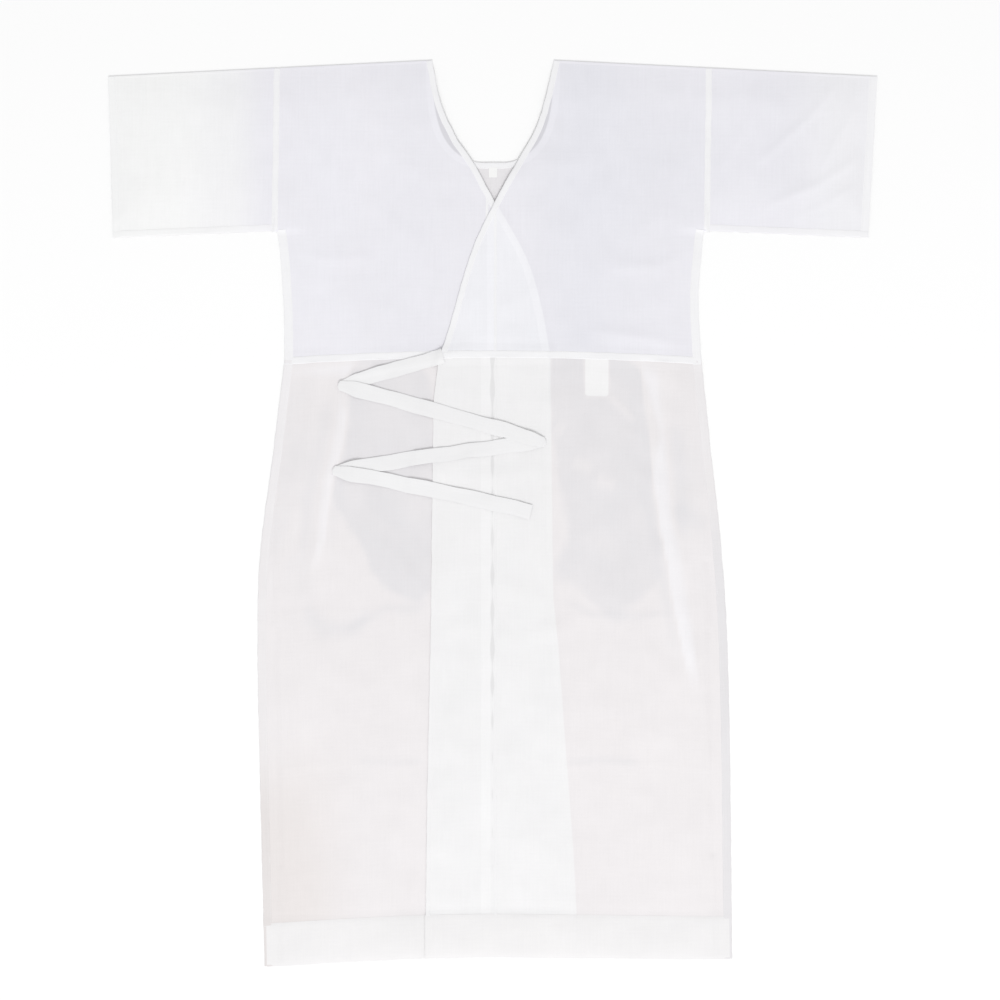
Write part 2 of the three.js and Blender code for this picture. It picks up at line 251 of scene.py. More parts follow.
def laid(x, y):
    """Where a point of the pattern lies: the gown isn't laid down quite straight."""
    lean = np.interp(y, LEAN[:, 0], LEAN[:, 1]) * np.minimum(1, abs(x) / 0.27) ** 2
    body = np.minimum(abs(x), 0.3) * np.sign(x)
    above = waist_rise(body) * smooth(y, 0.42, WAIST)
    down = np.clip((WAIST - y) / (WAIST - HEM), 0, 1)
    rise = np.where(y > WAIST, above, waist_rise(body) * (1 - down) + hem_rise(body) * down)
    return x + lean, y + rise


# ---------------------------------------------------------------- folds and wrinkles

def refined(values):
    """A grid of heights with twice the points each way, rounded as a B-spline."""
    for _ in range(2):
        at_points = values.copy()
        at_points[1:-1] = (values[:-2] + 6 * values[1:-1] + values[2:]) / 8
        finer = np.empty((2 * len(values) - 1, values.shape[1]))
        finer[0::2] = at_points
        finer[1::2] = (values[:-1] + values[1:]) / 2
        values = finer.T
    return values


class Field:
    """A smooth height over the pattern. values[i, j] is at x = X0 + i step_x, y = Y0 + j step_y."""

    X0, Y0, X1, Y1 = -0.54, -0.64, 0.54, 0.64

    def __init__(self, values, step_x, step_y, times=3):
        for _ in range(times):
            values = refined(values)
        self.values = values
        self.step = np.array([step_x, step_y]) / 2**times

    @classmethod
    def noise(cls, seed, step_x, step_y):
        nx = int((cls.X1 - cls.X0) / step_x) + 3
        ny = int((cls.Y1 - cls.Y0) / step_y) + 3
        return cls(np.random.default_rng(seed).uniform(-1, 1, (nx, ny)), step_x, step_y)

    def __call__(self, x, y):
        u = np.clip((x - self.X0) / self.step[0], 0, self.values.shape[0] - 1.001)
        v = np.clip((y - self.Y0) / self.step[1], 0, self.values.shape[1] - 1.001)
        i, j = u.astype(int), v.astype(int)
        fu, fv = u - i, v - j
        z = self.values
        return ((z[i, j] * (1 - fv) + z[i, j + 1] * fv) * (1 - fu)
                + (z[i + 1, j] * (1 - fv) + z[i + 1, j + 1] * fv) * fu)


def distance(x, y, line):
    """How far each point is from a line of straight runs."""
    best = np.full(np.shape(x), 9.0)
    for (ax, ay), (bx, by) in zip(line[:-1], line[1:]):
        dx, dy = bx - ax, by - ay
        t = np.clip(((x - ax) * dx + (y - ay) * dy) / (dx * dx + dy * dy), 0, 1)
        best = np.minimum(best, np.hypot(x - ax - t * dx, y - ay - t * dy))
    return best


def ridge(x, y, line, half, rise):
    """A fold raised along a line, fading out at its ends."""
    (ax, ay), (bx, by) = line[0], line[-1]
    along = ((x - ax) * (bx - ax) + (y - ay) * (by - ay)) / ((bx - ax) ** 2 + (by - ay) ** 2)
    fade = smooth(along, -0.06, 0.12) * smooth(along, 1.06, 0.85)
    return rise * fade * np.exp(-((distance(x, y, line) / half) ** 2))


# The two folds that run down the skirt from the waist, one at each side: the sharp inner edge of each.
LEFT_FOLD = np.array([(0.1925, 0.192), (0.1976, 0.139), (0.2023, 0.1), (0.2074, 0.061), (0.2132, 0.018),
                      (0.219, -0.021), (0.2275, -0.062), (0.234, -0.114), (0.256, -0.231)])
RIGHT_FOLD = np.array([(-0.184, 0.19), (-0.1866, 0.139), (-0.1924, 0.1), (-0.1963, 0.08),
                       (-0.206, 0.045), (-0.211, 0.01), (-0.2158, -0.033), (-0.229, -0.078)])
# Each fold is (line, half width, rise).
FOLDS = [
    (LEFT_FOLD + [0.0085, 0], 0.0088, 0.0038),
    (RIGHT_FOLD - [0.007, 0], 0.0075, 0.0032),
    ([(0.24, 0.192), (0.246, 0.12), (0.252, 0.06)], 0.0055, 0.0014),
    ([(-0.226, 0.192), (-0.238, 0.12), (-0.246, 0.06)], 0.0055, 0.0013),
    ([(-0.252, 0.19), (-0.258, 0.14), (-0.262, 0.1)], 0.004, 0.0009),
    ([(0.15, 0.155), (0.168, 0.138), (0.187, 0.12)], 0.005, 0.0011),
    ([(-0.14, -0.04), (-0.112, -0.072), (-0.086, -0.112)], 0.007, 0.001),
    ([(0.128, 0.238), (0.2, 0.231), (0.272, 0.219)], 0.006, 0.0012),
    ([(0.462, 0.578), (0.415, 0.515), (0.345, 0.452)], 0.005, 0.0018),
    ([(0.478, 0.53), (0.452, 0.492), (0.428, 0.44)], 0.0045, 0.0014),
    ([(0.48, 0.462), (0.425, 0.425), (0.35, 0.395)], 0.0055, 0.0016),
    ([(0.475, 0.425), (0.43, 0.398), (0.38, 0.378)], 0.004, 0.0012),
    ([(0.35, 0.56), (0.33, 0.5), (0.295, 0.44)], 0.006, 0.0009),
    ([(-0.33, 0.56), (-0.345, 0.48), (-0.32, 0.4)], 0.0075, 0.0009),
    ([(-0.43, 0.54), (-0.42, 0.45), (-0.44, 0.38)], 0.008, 0.0007),
    ([(-0.262, 0.345), (-0.215, 0.33), (-0.16, 0.333)], 0.006, 0.0009),
    ([(0.262, 0.345), (0.22, 0.322), (0.15, 0.318)], 0.006, 0.0009),
    ([(-0.18, 0.56), (-0.205, 0.47), (-0.225, 0.38)], 0.008, 0.0008),
    ([(0.12, 0.57), (0.17, 0.47), (0.215, 0.385)], 0.008, 0.0008),
    ([(-0.15, -0.02), (-0.17, -0.16), (-0.165, -0.33)], 0.012, 0.001),
    ([(0.17, -0.06), (0.185, -0.2), (0.176, -0.37)], 0.012, 0.001),
    ([(0.245, -0.3), (0.25, -0.4), (0.238, -0.5)], 0.011, 0.001),
    ([(-0.25, -0.2), (-0.255, -0.34), (-0.245, -0.47)], 0.011, 0.0009),
]
# Sharp lines left by folding the gown for storage, each (line, half width, rise).
CREASES = [
    ([(-0.285, -0.125), (-0.17, -0.129), (-0.084, -0.127)], 0.0022, 0.00045),
    ([(0.092, -0.14), (0.18, -0.133), (0.29, -0.137)], 0.0022, 0.0003),
    ([(-0.29, -0.331), (-0.18, -0.327), (-0.092, -0.33)], 0.0022, 0.00035),
    ([(0.105, -0.335), (0.2, -0.33), (0.295, -0.337)], 0.0022, 0.00035),
    ([(-0.25, 0.3), (-0.16, 0.304), (-0.05, 0.301)], 0.002, 0.00025),
    ([(0.04, 0.47), (0.13, 0.466), (0.25, 0.47)], 0.002, 0.00022),
    ([(-0.06, 0.47), (-0.15, 0.466), (-0.262, 0.471)], 0.002, 0.00022),
]

PUCKER_FINE = Field.noise(11, 0.009, 0.009)
PUCKER_LONG = Field.noise(12, 0.015, 0.03)
GATHER = Field.noise(13, 0.011, 0.08)
BROAD = Field.noise(14, 0.08, 0.12)
CLOUD = Field.noise(16, 0.05, 0.07)
MIDDLE = Field.noise(15, 0.03, 0.045)


def seam_pucker(x, y):
    """The cloth drawn up beside its sewing."""
    bodice_edge = np.abs(np.abs(x) - ARMHOLE)
    beside_arm = np.exp(-bodice_edge / 0.012) * (y > UNDERARM - 0.01)
    beside_side = np.exp(-np.abs(across(SIDE, y) - np.abs(x)) / 0.014) * (y < UNDERARM)
    beside_hem = np.exp(-np.abs(y - HEM_TOP) / 0.01)
    below_waist = np.exp(-np.abs(y - WAIST) / 0.012)
    at_sides = 0.5 + 0.9 * smooth(np.abs(x), 0.15, 0.25)
    seams = (beside_arm + beside_side + beside_hem) * PUCKER_FINE(x, y)
    gathers = smooth(WAIST - y, 0.0, 0.006) * np.exp(-np.maximum(0, WAIST - y) / 0.03)
    return 0.00045 * seams + 0.00035 * below_waist * PUCKER_FINE(x, y) + (
        0.0017 * gathers * at_sides * GATHER(x, y))


# Painted shade where the skirt stands off the cloth behind it and painted light where it touches,
# each (line, half width, how much).
PAINTED_SHADE_STROKES = [
    ([(0.238, 0.12), (0.246, 0.06), (0.248, -0.03)], 0.01, 0.5),
    ([(0.236, 0.01), (0.262, -0.004), (0.28, -0.016)], 0.012, 0.3),
    ([(-0.215, 0.15), (-0.224, 0.08), (-0.24, 0.02), (-0.244, -0.05)], 0.0085, 0.5),
    ([(-0.155, -0.045), (-0.122, -0.082), (-0.088, -0.122)], 0.0125, 0.5),
    ([(-0.148, -0.052), (-0.118, -0.085), (-0.088, -0.127)], 0.0055, 0.3),
    ([(-0.245, -0.124), (-0.218, -0.15), (-0.185, -0.152), (-0.16, -0.14)], 0.0115, 0.6),
    ([(-0.19, -0.15), (-0.157, -0.136), (-0.14, -0.126), (-0.088, -0.129)], 0.0065, 0.45),
    ([(0.094, -0.118), (0.13, -0.135), (0.185, -0.137), (0.225, -0.13)], 0.0055, 0.45),
    ([(-0.175, -0.325), (-0.13, -0.33), (-0.088, -0.328)], 0.005, 0.35),
    ([(0.094, -0.331), (0.135, -0.326), (0.19, -0.329)], 0.0055, 0.45),
    ([(0.08, 0.11), (0.092, 0.104)], 0.011, -0.5),
    ([(0.104, 0.066), (0.13, 0.054)], 0.01, -0.5),
    ([(0.136, 0.044), (0.16, 0.034)], 0.009, -0.5),
    ([(0.15, 0.155), (0.168, 0.138), (0.187, 0.12)], 0.005, -0.6),
    ([(-0.16, 0.025), (-0.135, -0.005), (-0.12, -0.02)], 0.0085, 0.3),
    ([(-0.15, 0.07), (-0.118, 0.06)], 0.01, -0.3),
    ([(-0.3, -0.1), (-0.262, -0.045), (-0.248, 0.02)], 0.009, -0.3),
    ([(-0.268, 0.189), (-0.215, 0.189), (-0.16, 0.193)], 0.0065, -0.7),
]


def fold_highlight_and_shade(x, y):
    """Painted highlight along the two long folds of the skirt, and painted shade inside of them."""
    value = np.zeros(np.shape(x))
    for edge, out, width, much in ((LEFT_FOLD, 1, 0.028, 1.0), (RIGHT_FOLD, -1, 0.019, 0.65)):
        along = smooth(y, edge[-1, 1], edge[-1, 1] + 0.13)
        across_it = out * (x - across(edge, y))
        outer = smooth(across_it, width * 0.45, width * (0.5 + along / 2))
        crest = smooth(across_it, -0.0012, 0.0022) * (1 - outer)
        dark = np.exp(-(((across_it + 0.008) / 0.0075) ** 2)) * (across_it < 0)
        fade = smooth(y, edge[-1, 1] - 0.01, edge[-1, 1] + 0.05) * smooth(y, WAIST, WAIST - 0.03)
        value = value + fade * (0.55 * dark * along - much * crest)
    return value


def folds(x, y):
    """The large folds, which lie where they were pressed in or where the cloth is too wide."""
    height = np.zeros(np.shape(x))
    for line, half, rise in FOLDS:
        height = height + ridge(x, y, line, half, rise)
    return height


# ---------------------------------------------------------------- settling the cloth

CELL = 0.009
CALM_TIMES = 4
SETTLING_FRAMES = 26
CLOTH_SETTINGS = {
    "quality": 5, "mass": 0.15, "tension_stiffness": 12, "compression_stiffness": 12,
    "shear_stiffness": 6, "bending_stiffness": 0.6, "air_damping": 2,
    "shrink_min": -0.018, "shrink_max": -0.018, "vertex_group_mass": "held",
}


def gown_inside(x, y):
    """True inside the outline of the whole gown."""
    ax = np.abs(x)
    body = (ax < across(SIDE, np.minimum(y, UNDERARM))) & (y > HEM) & (y < UNDERARM)
    upper = (y >= UNDERARM) & (ax < SPAN) & (y < shoulder_line(ax))
    opening = (x > across(UNDER_NECK, y)) & (x < across(OVER_NECK, y))
    neck = (y > BACK_NECK_Y) & opening
    return (body | upper) & ~neck


def square(name, half):
    """A flat face on the surface that the gown lies on."""
    mesh = bpy.data.meshes.new(name)
    corners = [(-half, -half, 0), (half, -half, 0), (half, half, 0), (-half, half, 0)]
    mesh.from_pydata(corners, [], [(0, 1, 2, 3)])
    return mesh


def cloth_grid():
    """A flat net of the whole front, its cells, and which of its points its seams hold down."""
    xs = np.arange(Field.X0, Field.X1 + CELL, CELL)
    ys = np.arange(Field.Y0, Field.Y1 + CELL, CELL)
    gx, gy = np.meshgrid(xs, ys, indexing="ij")
    inside = gown_inside(gx, gy)
    full = inside[:-1, :-1] & inside[1:, :-1] & inside[:-1, 1:] & inside[1:, 1:]
    cells = np.argwhere(full)
    corners = np.stack([cells, cells + [1, 0], cells + [1, 1], cells + [0, 1]], axis=1)
    index = np.ravel_multi_index((corners[..., 0], corners[..., 1]), gx.shape)
    used, faces = np.unique(index, return_inverse=True)
    faces = faces.reshape(index.shape)
    uses = np.bincount(faces.ravel(), minlength=len(used))
    x, y = gx.ravel()[used], gy.ravel()[used]
    seams = np.abs(y - WAIST) < CELL * 0.6
    seams |= (np.abs(np.abs(x) - ARMHOLE) < CELL * 0.6) & (y > UNDERARM)
    seams |= (y < HEM_TOP) & (y > HEM_TOP - CELL)
    return gx.shape, used, faces, x, y, (uses < 4) | seams


def calmed(values, times):
    """The same heights with the smallest wrinkles pressed out of them."""
    for _ in range(times):
        near = values.copy()
        near[1:-1, 1:-1] = (4 * values[1:-1, 1:-1] + values[:-2, 1:-1] + values[2:, 1:-1]
                            + values[1:-1, :-2] + values[1:-1, 2:]) / 8
        values = near
    return values


def settled():
    """Heights of the cloth once it has dropped onto the surface, being a little too large for its
    seams: a Cloth simulation of the whole front as one net, held along its seams and edges."""
    shape, used, faces, x, y, held = cloth_grid()
    start = 0.0012 + 0.0006 * MIDDLE(x, y) + 0.9 * folds(x, y) + 0.0004 * PUCKER_LONG(x, y)
    mesh = bpy.data.meshes.new("settling")
    mesh.from_pydata(np.stack([x, y, np.maximum(start, 0.0008)], axis=1).tolist(), [], faces.tolist())
    cloth = placed("settling", mesh)
    ground = placed("ground", square("ground", 1))
    group = cloth.vertex_groups.new(name="held")
    group.add(np.flatnonzero(held).tolist(), 1.0, "REPLACE")
    ground.modifiers.new("Collision", "COLLISION")
    ground.collision.thickness_outer = 0.0005
    modifier = cloth.modifiers.new("Cloth", "CLOTH")
    for key, value in CLOTH_SETTINGS.items():
        setattr(modifier.settings, key, value)
    modifier.collision_settings.distance_min = 0.0005
    modifier.collision_settings.use_self_collision = False
    modifier.point_cache.frame_start = 1
    modifier.point_cache.frame_end = SETTLING_FRAMES
    scene = bpy.context.scene
    for step in range(1, SETTLING_FRAMES + 1):
        scene.frame_set(step)
    result = cloth.evaluated_get(bpy.context.evaluated_depsgraph_get()).to_mesh()
    z = np.empty(len(used) * 3)
    result.vertices.foreach_get("co", z)
    heights = np.zeros(shape).ravel()
    heights[used] = np.clip(z.reshape(-1, 3)[:, 2], 0, 0.006)
    heights = calmed(heights.reshape(shape), CALM_TIMES)
    for obj in (cloth, ground):
        bpy.data.objects.remove(obj)
    scene.frame_set(1)
    return heights


SETTLED = Field(settled(), CELL, CELL, times=2)


def inner(x, y, reach=0.016):
    """0 at the outline of the gown, where the layers are sewn together, and 1 well inside it."""
    ax = np.abs(x)
    from_side = across(SIDE, np.minimum(y, UNDERARM)) - ax
    from_top = shoulder_line(ax) - y
    from_cuff = np.where(y > UNDERARM - 0.012, SPAN - ax, 9.0)
    from_below = y - UNDERARM
    beside = np.where(y > UNDERARM, 9.0, from_side)
    sleeve = np.where(ax > ARMHOLE, from_below, 9.0)
    nearest = np.minimum(np.minimum(beside, from_top), np.minimum(from_cuff, sleeve))
    return smooth(nearest, -0.001, reach)


def relief(x, y):
    """What every layer shares, since each follows the one below: never below 0."""
    if SETTLED is None:
        height = folds(x, y) + 0.0004 + 0.0004 * MIDDLE(x, y)
    else:
        height = SETTLED(x, y) + 0.6 * folds(x, y)
    for line, half, rise in CREASES:
        height = height + ridge(x, y, line, half, rise)
    height = height + 0.0004 + 0.0004 * BROAD(x, y) + seam_pucker(x, y) + 0.00008 * PUCKER_LONG(x, y)
    return np.maximum(height, 0) * (0.12 + 0.88 * inner(x, y, 0.05))


# ---------------------------------------------------------------- heights of the layers

def sewn(y):
    """How much further apart the layers are at the waist seam and the hem."""
    waist = 1 - smooth(np.abs(y - WAIST), 0.006, 0.013)
    hem = 1 - smooth(y - HEM_TOP, -0.001, 0.006)
    return 0.0006 * np.maximum(waist, hem)


def past_under(x, y):
    """How far inside the free edge of the under front a point is."""
    return (across(UNDER_LINE, y) - x) * np.where(y > WAIST, 0.88, 1.0)


def past_over(x, y):
    return (x - across(OVER_LINE, y)) * np.where(y > WAIST, 0.88, 1.0)


def layer_gap(x, y):
    """From one layer to the next: they lie close where they are sewn together at the outline."""
    return CLOTH + CLEAR + (LAYER - CLOTH - CLEAR) * inner(x, y) + sewn(y)


# How much of the relief each layer adds to that of the one below it.
BACK_SHARE, UNDER_SHARE, OVER_SHARE = 0.25, 0.45, 0.2


def back_low(x, y):
    return FLOOR_GAP + BACK_SHARE * relief(x, y)


def under_low(x, y):
    return back_low(x, y) + layer_gap(x, y) + UNDER_SHARE * relief(x, y)


def over_low(x, y):
    inside = past_under(x, y)
    cover = smooth(inside, -0.008, 0.0)
    edge = smooth(inside, -0.003, 0.001) * (1 - smooth(inside, 0.008, 0.014))
    root = np.exp(-(np.hypot(x - TIE_ROOT[0], y - TIE_ROOT[1]) / 0.018) ** 2)
    pressed = (LAYER - CLOTH - CLEAR) * inner(x, y) * (1 - smooth(past_over(x, y), 0.003, 0.02))
    extra = cover * (layer_gap(x, y) - pressed) + 0.0005 * edge + 0.0012 * root
    return under_low(x, y) + extra + OVER_SHARE * relief(x, y)


def outer_low(x, y):
    """The front layer at the sides, where only one front lies over the back."""
    return np.where(x < 0, under_low(x, y), over_low(x, y))


# ---------------------------------------------------------------- materials

def node(tree, kind, inputs=(), **settings):
    """A new node, with its settings and what each of its inputs is given: a value or a socket."""
    new = tree.nodes.new(kind)
    for key, value in settings.items():
        setattr(new, key, value)
    for key, value in dict(inputs).items():
        if isinstance(value, bpy.types.NodeSocket):
            tree.links.new(value, new.inputs[key])
        else:
            new.inputs[key].default_value = value
    return new


def value_of(tree, kind, inputs=(), **settings):
    """The first output of a new node."""
    return node(tree, kind, inputs, **settings).outputs[0]


def noise_of(tree, scale, detail=2.0, rough=0.5):
    """Noise over the pattern, with its own number of cells per metre each way."""
    where = value_of(tree, "ShaderNodeUVMap", uv_map="pattern")
    stretched = value_of(tree, "ShaderNodeVectorMath", {0: where, 1: scale}, operation="MULTIPLY")
    return value_of(tree, "ShaderNodeTexNoise",
                    {"Vector": stretched, "Scale": 1.0, "Detail": detail, "Roughness": rough})


def threads_of(tree, pitch):
    """Height of a plain weave of the given pitch: warp and weft as rounded threads."""
    where = value_of(tree, "ShaderNodeUVMap", uv_map="pattern")
    ways = []
    for direction in ("X", "Y"):
        wave = node(tree, "ShaderNodeTexWave", {"Vector": where, "Scale": math.pi / 10 / pitch,
                                                "Distortion": 0.0}, bands_direction=direction)
        ways.append(wave.outputs[1])
    return value_of(tree, "ShaderNodeMath", {0: ways[0], 1: ways[1]}, operation="MAXIMUM")


def spread(tree, value, low_end, high_end):
    """A 0 to 1 value taken to a narrower range."""
    return value_of(tree, "ShaderNodeMapRange", {"Value": value, "From Min": 0.25, "From Max": 0.75,
                                                 "To Min": low_end, "To Max": high_end})


def around_one(tree, value, much):
    """A factor that strays from 1 with a pattern."""
    return spread(tree, value, 1 - much, 1 + much)


def shade_from(tree, attribute, stops):
    """A tint that depends on an attribute of the cloth. stops are (value, tint), the tint a factor
    for each of red, green and blue."""
    value = node(tree, "ShaderNodeAttribute", attribute_name=attribute).outputs["Fac"]
    start, end = stops[0][0], stops[-1][0]
    place = value_of(tree, "ShaderNodeMapRange", {"Value": value, "From Min": start, "From Max": end})
    ramp = node(tree, "ShaderNodeValToRGB", {"Fac": place})
    elements = ramp.color_ramp.elements
    while len(elements) < len(stops):
        elements.new(0.5)
    for element, (at, tint) in zip(elements, stops):
        element.position = (at - start) / (end - start)
        element.color = (*[part / TINT_RANGE for part in tint], 1)
    return value_of(tree, "ShaderNodeVectorMath", {0: ramp.outputs[0], "Scale": TINT_RANGE},
                    operation="SCALE")


BLOTCHES = 0.02  # how much lighter or darker a cloth is from place to place
ROUGHNESS_RANGE = 0.06  # each way, with the uneven threads
THREAD_SHARE = 0.35  # of the even threads in the bump, beside the uneven ones
BUMP = {"Strength": 0.4, "Distance": 0.0003}
SHADER = {"Sheen Weight": 0.15, "Sheen Roughness": 0.5, "Specular IOR Level": 0.25}


def cloth_material(name, colour, rough, slub, weave, shades):
    """Woven cloth: threads, slubs along the warp and weft, and slow changes of colour.

    slub is the strength of the uneven threads and weave the pitch of the even ones. shades are
    (attribute, stops) for what lies under the cloth and shows through it, and for painted shade and light."""
    material = bpy.data.materials.new(name)
    material.use_nodes = True
    tree = material.node_tree
    shader = tree.nodes["Principled BSDF"]
    warp = noise_of(tree, (430, 17, 1), 3.0, 0.65)
    weft = noise_of(tree, (24, 330, 1), 2.0, 0.6)
    blotch = noise_of(tree, (11, 8, 1), 3.0, 0.55)
    grime = noise_of(tree, (60, 45, 1), 2.0, 0.5)
    factor = around_one(tree, warp, slub)
    for pattern, much in ((weft, slub / 2), (blotch, BLOTCHES), (grime, BLOTCHES / 3)):
        factor = value_of(tree, "ShaderNodeMath", {0: factor, 1: around_one(tree, pattern, much)},
                          operation="MULTIPLY")
    paint = value_of(tree, "ShaderNodeVectorMath", {0: colour, "Scale": factor}, operation="SCALE")
    for attribute, stops in shades:
        tint = shade_from(tree, attribute, stops)
        paint = value_of(tree, "ShaderNodeVectorMath", {0: paint, 1: tint}, operation="MULTIPLY")
    tree.links.new(paint, shader.inputs["Base Color"])
    roughness = spread(tree, warp, rough - ROUGHNESS_RANGE, min(1.0, rough + ROUGHNESS_RANGE))
    tree.links.new(roughness, shader.inputs["Roughness"])
    for key, value in SHADER.items():
        shader.inputs[key].default_value = value
    uneven = value_of(tree, "ShaderNodeMath", {0: warp, 1: weft}, operation="ADD")
    threads = threads_of(tree, weave)
    height = value_of(tree, "ShaderNodeMath", {0: threads, 1: THREAD_SHARE, 2: uneven},
                      operation="MULTIPLY_ADD")
    bump = value_of(tree, "ShaderNodeBump", {"Height": height, **BUMP})
    tree.links.new(bump, shader.inputs["Normal"])
    return material


PLAIN = (1.0, 1.0, 1.0)
TINT_RANGE = 1.25  # the strongest tint that a ramp holds


def grey(factor):
    return (factor, factor, factor)


def over_an_edge(outside, band, inside, width):
    """Stops for what lies under a front: nothing, then the band along its edge, then the cloth."""
    return [(-0.006, outside), (-0.0012, outside), (0.0002, band), (width, band),
            (width + 0.0015, inside), (0.03, inside)]


# What shows through a front: the under front, the back's binding, the label and the under front's seam.
# Painted shade where no back lies behind it and in the space between two seams, and painted shade and
# painted light for how far the cloth stands off the one below.
UNDER_BODICE = ("over_under", over_an_edge(PLAIN, (1.07, 1.078, 1.06), (1.036, 1.046, 1.032), BINDING))
UNDER_SKIRT = ("over_under", over_an_edge(PLAIN, (1.034, 1.06, 1.056), (1.028, 1.054, 1.05), EDGE_HEM))
# Painted shade where no back lies behind a front beside the neck; the back's binding shows through paler.
BACK_SHOWS_AND_SHADE = ("over_back", [(-0.03, grey(0.84)), (-0.001, grey(0.84)), (0.0006, grey(1.03)),
                            (BINDING, grey(1.03)), (BINDING + 0.0015, PLAIN), (0.03, PLAIN)])
LABEL_SHOWS = ("over_label", [(-0.004, PLAIN), (-0.0006, PLAIN), (0.0004, (1.07, 1.098, 1.092)),
                              (0.004, (1.07, 1.098, 1.092))])
# Painted shade in the gap between the two overlap seams.
PAINTED_GAP_SHADE = ("over_gap", [(-0.004, PLAIN), (-0.0006, PLAIN), (0.0008, grey(0.9)), (0.004, grey(0.9))])
SEAM_SHOWS = ("over_seam", [(-0.008, PLAIN), (-0.0007, PLAIN), (0.0005, grey(1.026)), (0.008, grey(1.026))])
# Painted light on the outer ends of the sleeves and on their hems.
PAINTED_LIGHT_END = ("pale_end", [(0.0, PLAIN), (1.0, (1.088, 1.1, 1.043))])
PAINTED_LIGHT_HEM = ("pale_end", [(0.0, PLAIN), (1.0, (1.03, 1.04, 1.01))])
BLUSH = ("blush", [(0.0, PLAIN), (1.0, (0.944, 0.925, 0.905))])
# Painted shade where the cloth stands off the one below, painted light where it touches or folds up.
PAINTED_SHADING = ("hollow", [(-1.0, (1.046, 1.061, 1.074)), (0.0, PLAIN), (1.0, (0.925, 0.937, 0.95))])

MATERIALS = {}


def make_materials():
    gauze = (0.815, 0.807, 0.85)
    skirt = (0.812, 0.787, 0.795)
    front_gauze = (BACK_SHOWS_AND_SHADE, UNDER_BODICE, SEAM_SHOWS, PAINTED_LIGHT_END, PAINTED_SHADING)
    front_skirt = (UNDER_SKIRT, LABEL_SHOWS, SEAM_SHOWS, PAINTED_GAP_SHADE, PAINTED_SHADING, BLUSH)
    specs = {
        "front_gauze": ("bodice_gauze", gauze, 0.95, 0.015, 0.0011, front_gauze),
        "back_gauze": ("bodice_gauze", (0.788, 0.772, 0.788), 0.95, 0.02, 0.0011, ()),
        "front_skirt_cloth": ("skirt_cloth", skirt, 0.88, 0.012, 0.0012, front_skirt),
        "back_skirt_cloth": ("skirt_cloth", (0.785, 0.762, 0.77), 0.88, 0.016, 0.0012, ()),
        "skirt_seam": ("trim", (0.802, 0.78, 0.787), 0.88, 0.014, 0.0012, (PAINTED_SHADING, BLUSH)),
        "cuff_gauze": ("trim", (0.858, 0.852, 0.878), 0.95, 0.016, 0.0011, (PAINTED_LIGHT_HEM,)),
        "sewn_tape": ("trim", (0.868, 0.866, 0.88), 0.9, 0.012, 0.001, ()),
        "hem_cloth": ("trim", (0.818, 0.808, 0.812), 0.9, 0.012, 0.0012, ()),
        "tie_tape": ("tie_tape", (0.832, 0.829, 0.836), 0.9, 0.008, 0.001, ()),
        "label_satin": ("label", (0.91, 0.91, 0.905), 0.55, 0.006, 0.0006, ()),
        "sewing_thread": ("trim", (0.835, 0.833, 0.845), 0.8, 0.01, 0.0005, ()),
    }
    for name, (slot, colour, rough, slub, weave, shades) in specs.items():
        material = cloth_material(name, colour, rough, slub, weave, shades)
        MATERIALS[name] = (material, slot)


# ---------------------------------------------------------------- meshes

def attach(obj, body):
    """Rides on a body, or, for a piece between the gown and a part that turns on it, is left unparented with
    its transform baked.
    """
    if body in BENDS:
        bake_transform(obj)
    else:
        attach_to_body(obj, body)


def put(name, vertices, faces, uv, material, body, nodes=(), tags=None):
    """A piece from its points and faces, with its pattern coordinates, finish and body."""
    mesh = bpy.data.meshes.new(name)
    mesh.from_pydata(np.asarray(vertices).tolist(), [], [list(map(int, f)) for f in faces])
    layer = mesh.uv_layers.new(name="pattern")
    loops = np.empty(len(mesh.loops), int)
    mesh.loops.foreach_get("vertex_index", loops)
    layer.data.foreach_set("uv", np.asarray(uv, np.float32)[loops].ravel())
    for tag, values in (tags or {}).items():
        attribute = mesh.attributes.new(tag, "FLOAT", "POINT")
        attribute.data.foreach_set("value", np.asarray(values, np.float32).ravel())
    mesh.shade_smooth()
    mesh.set_sharp_from_angle(angle=math.radians(52))
    obj = placed(name, mesh)
    finish, slot = MATERIALS[material]
    mesh.materials.append(finish)
    attach(obj, body)
    if nodes:
        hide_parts(*nodes)
    return obj


def shell_faces(rows, columns):
    """Faces of a closed shell: a grid of top points, then the same grid of bottom points."""
    i, j = np.meshgrid(np.arange(rows - 1), np.arange(columns - 1), indexing="ij")
    a = (i * columns + j).ravel()
    top = np.stack([a, a + 1, a + columns + 1, a + columns], axis=1)
    size = rows * columns
    rim = np.concatenate([
        np.arange(columns),
        np.arange(1, rows) * columns + columns - 1,
        (rows - 1) * columns + np.arange(columns - 2, -1, -1),
        np.arange(rows - 2, 0, -1) * columns,
    ])
    after = np.roll(rim, -1)
    sides = np.stack([rim, rim + size, after + size, after], axis=1)
    return np.concatenate([top, top[:, ::-1] + size, sides])


# What each tag says on a side of the cloth where nothing shows through.
TAG_OFF = {"over_under": -1.0, "over_back": 1.0, "over_label": -1.0, "over_gap": -1.0, "over_seam": -1.0,
           "pale_end": 0.0, "hollow": 0.0, "blush": 0.0}


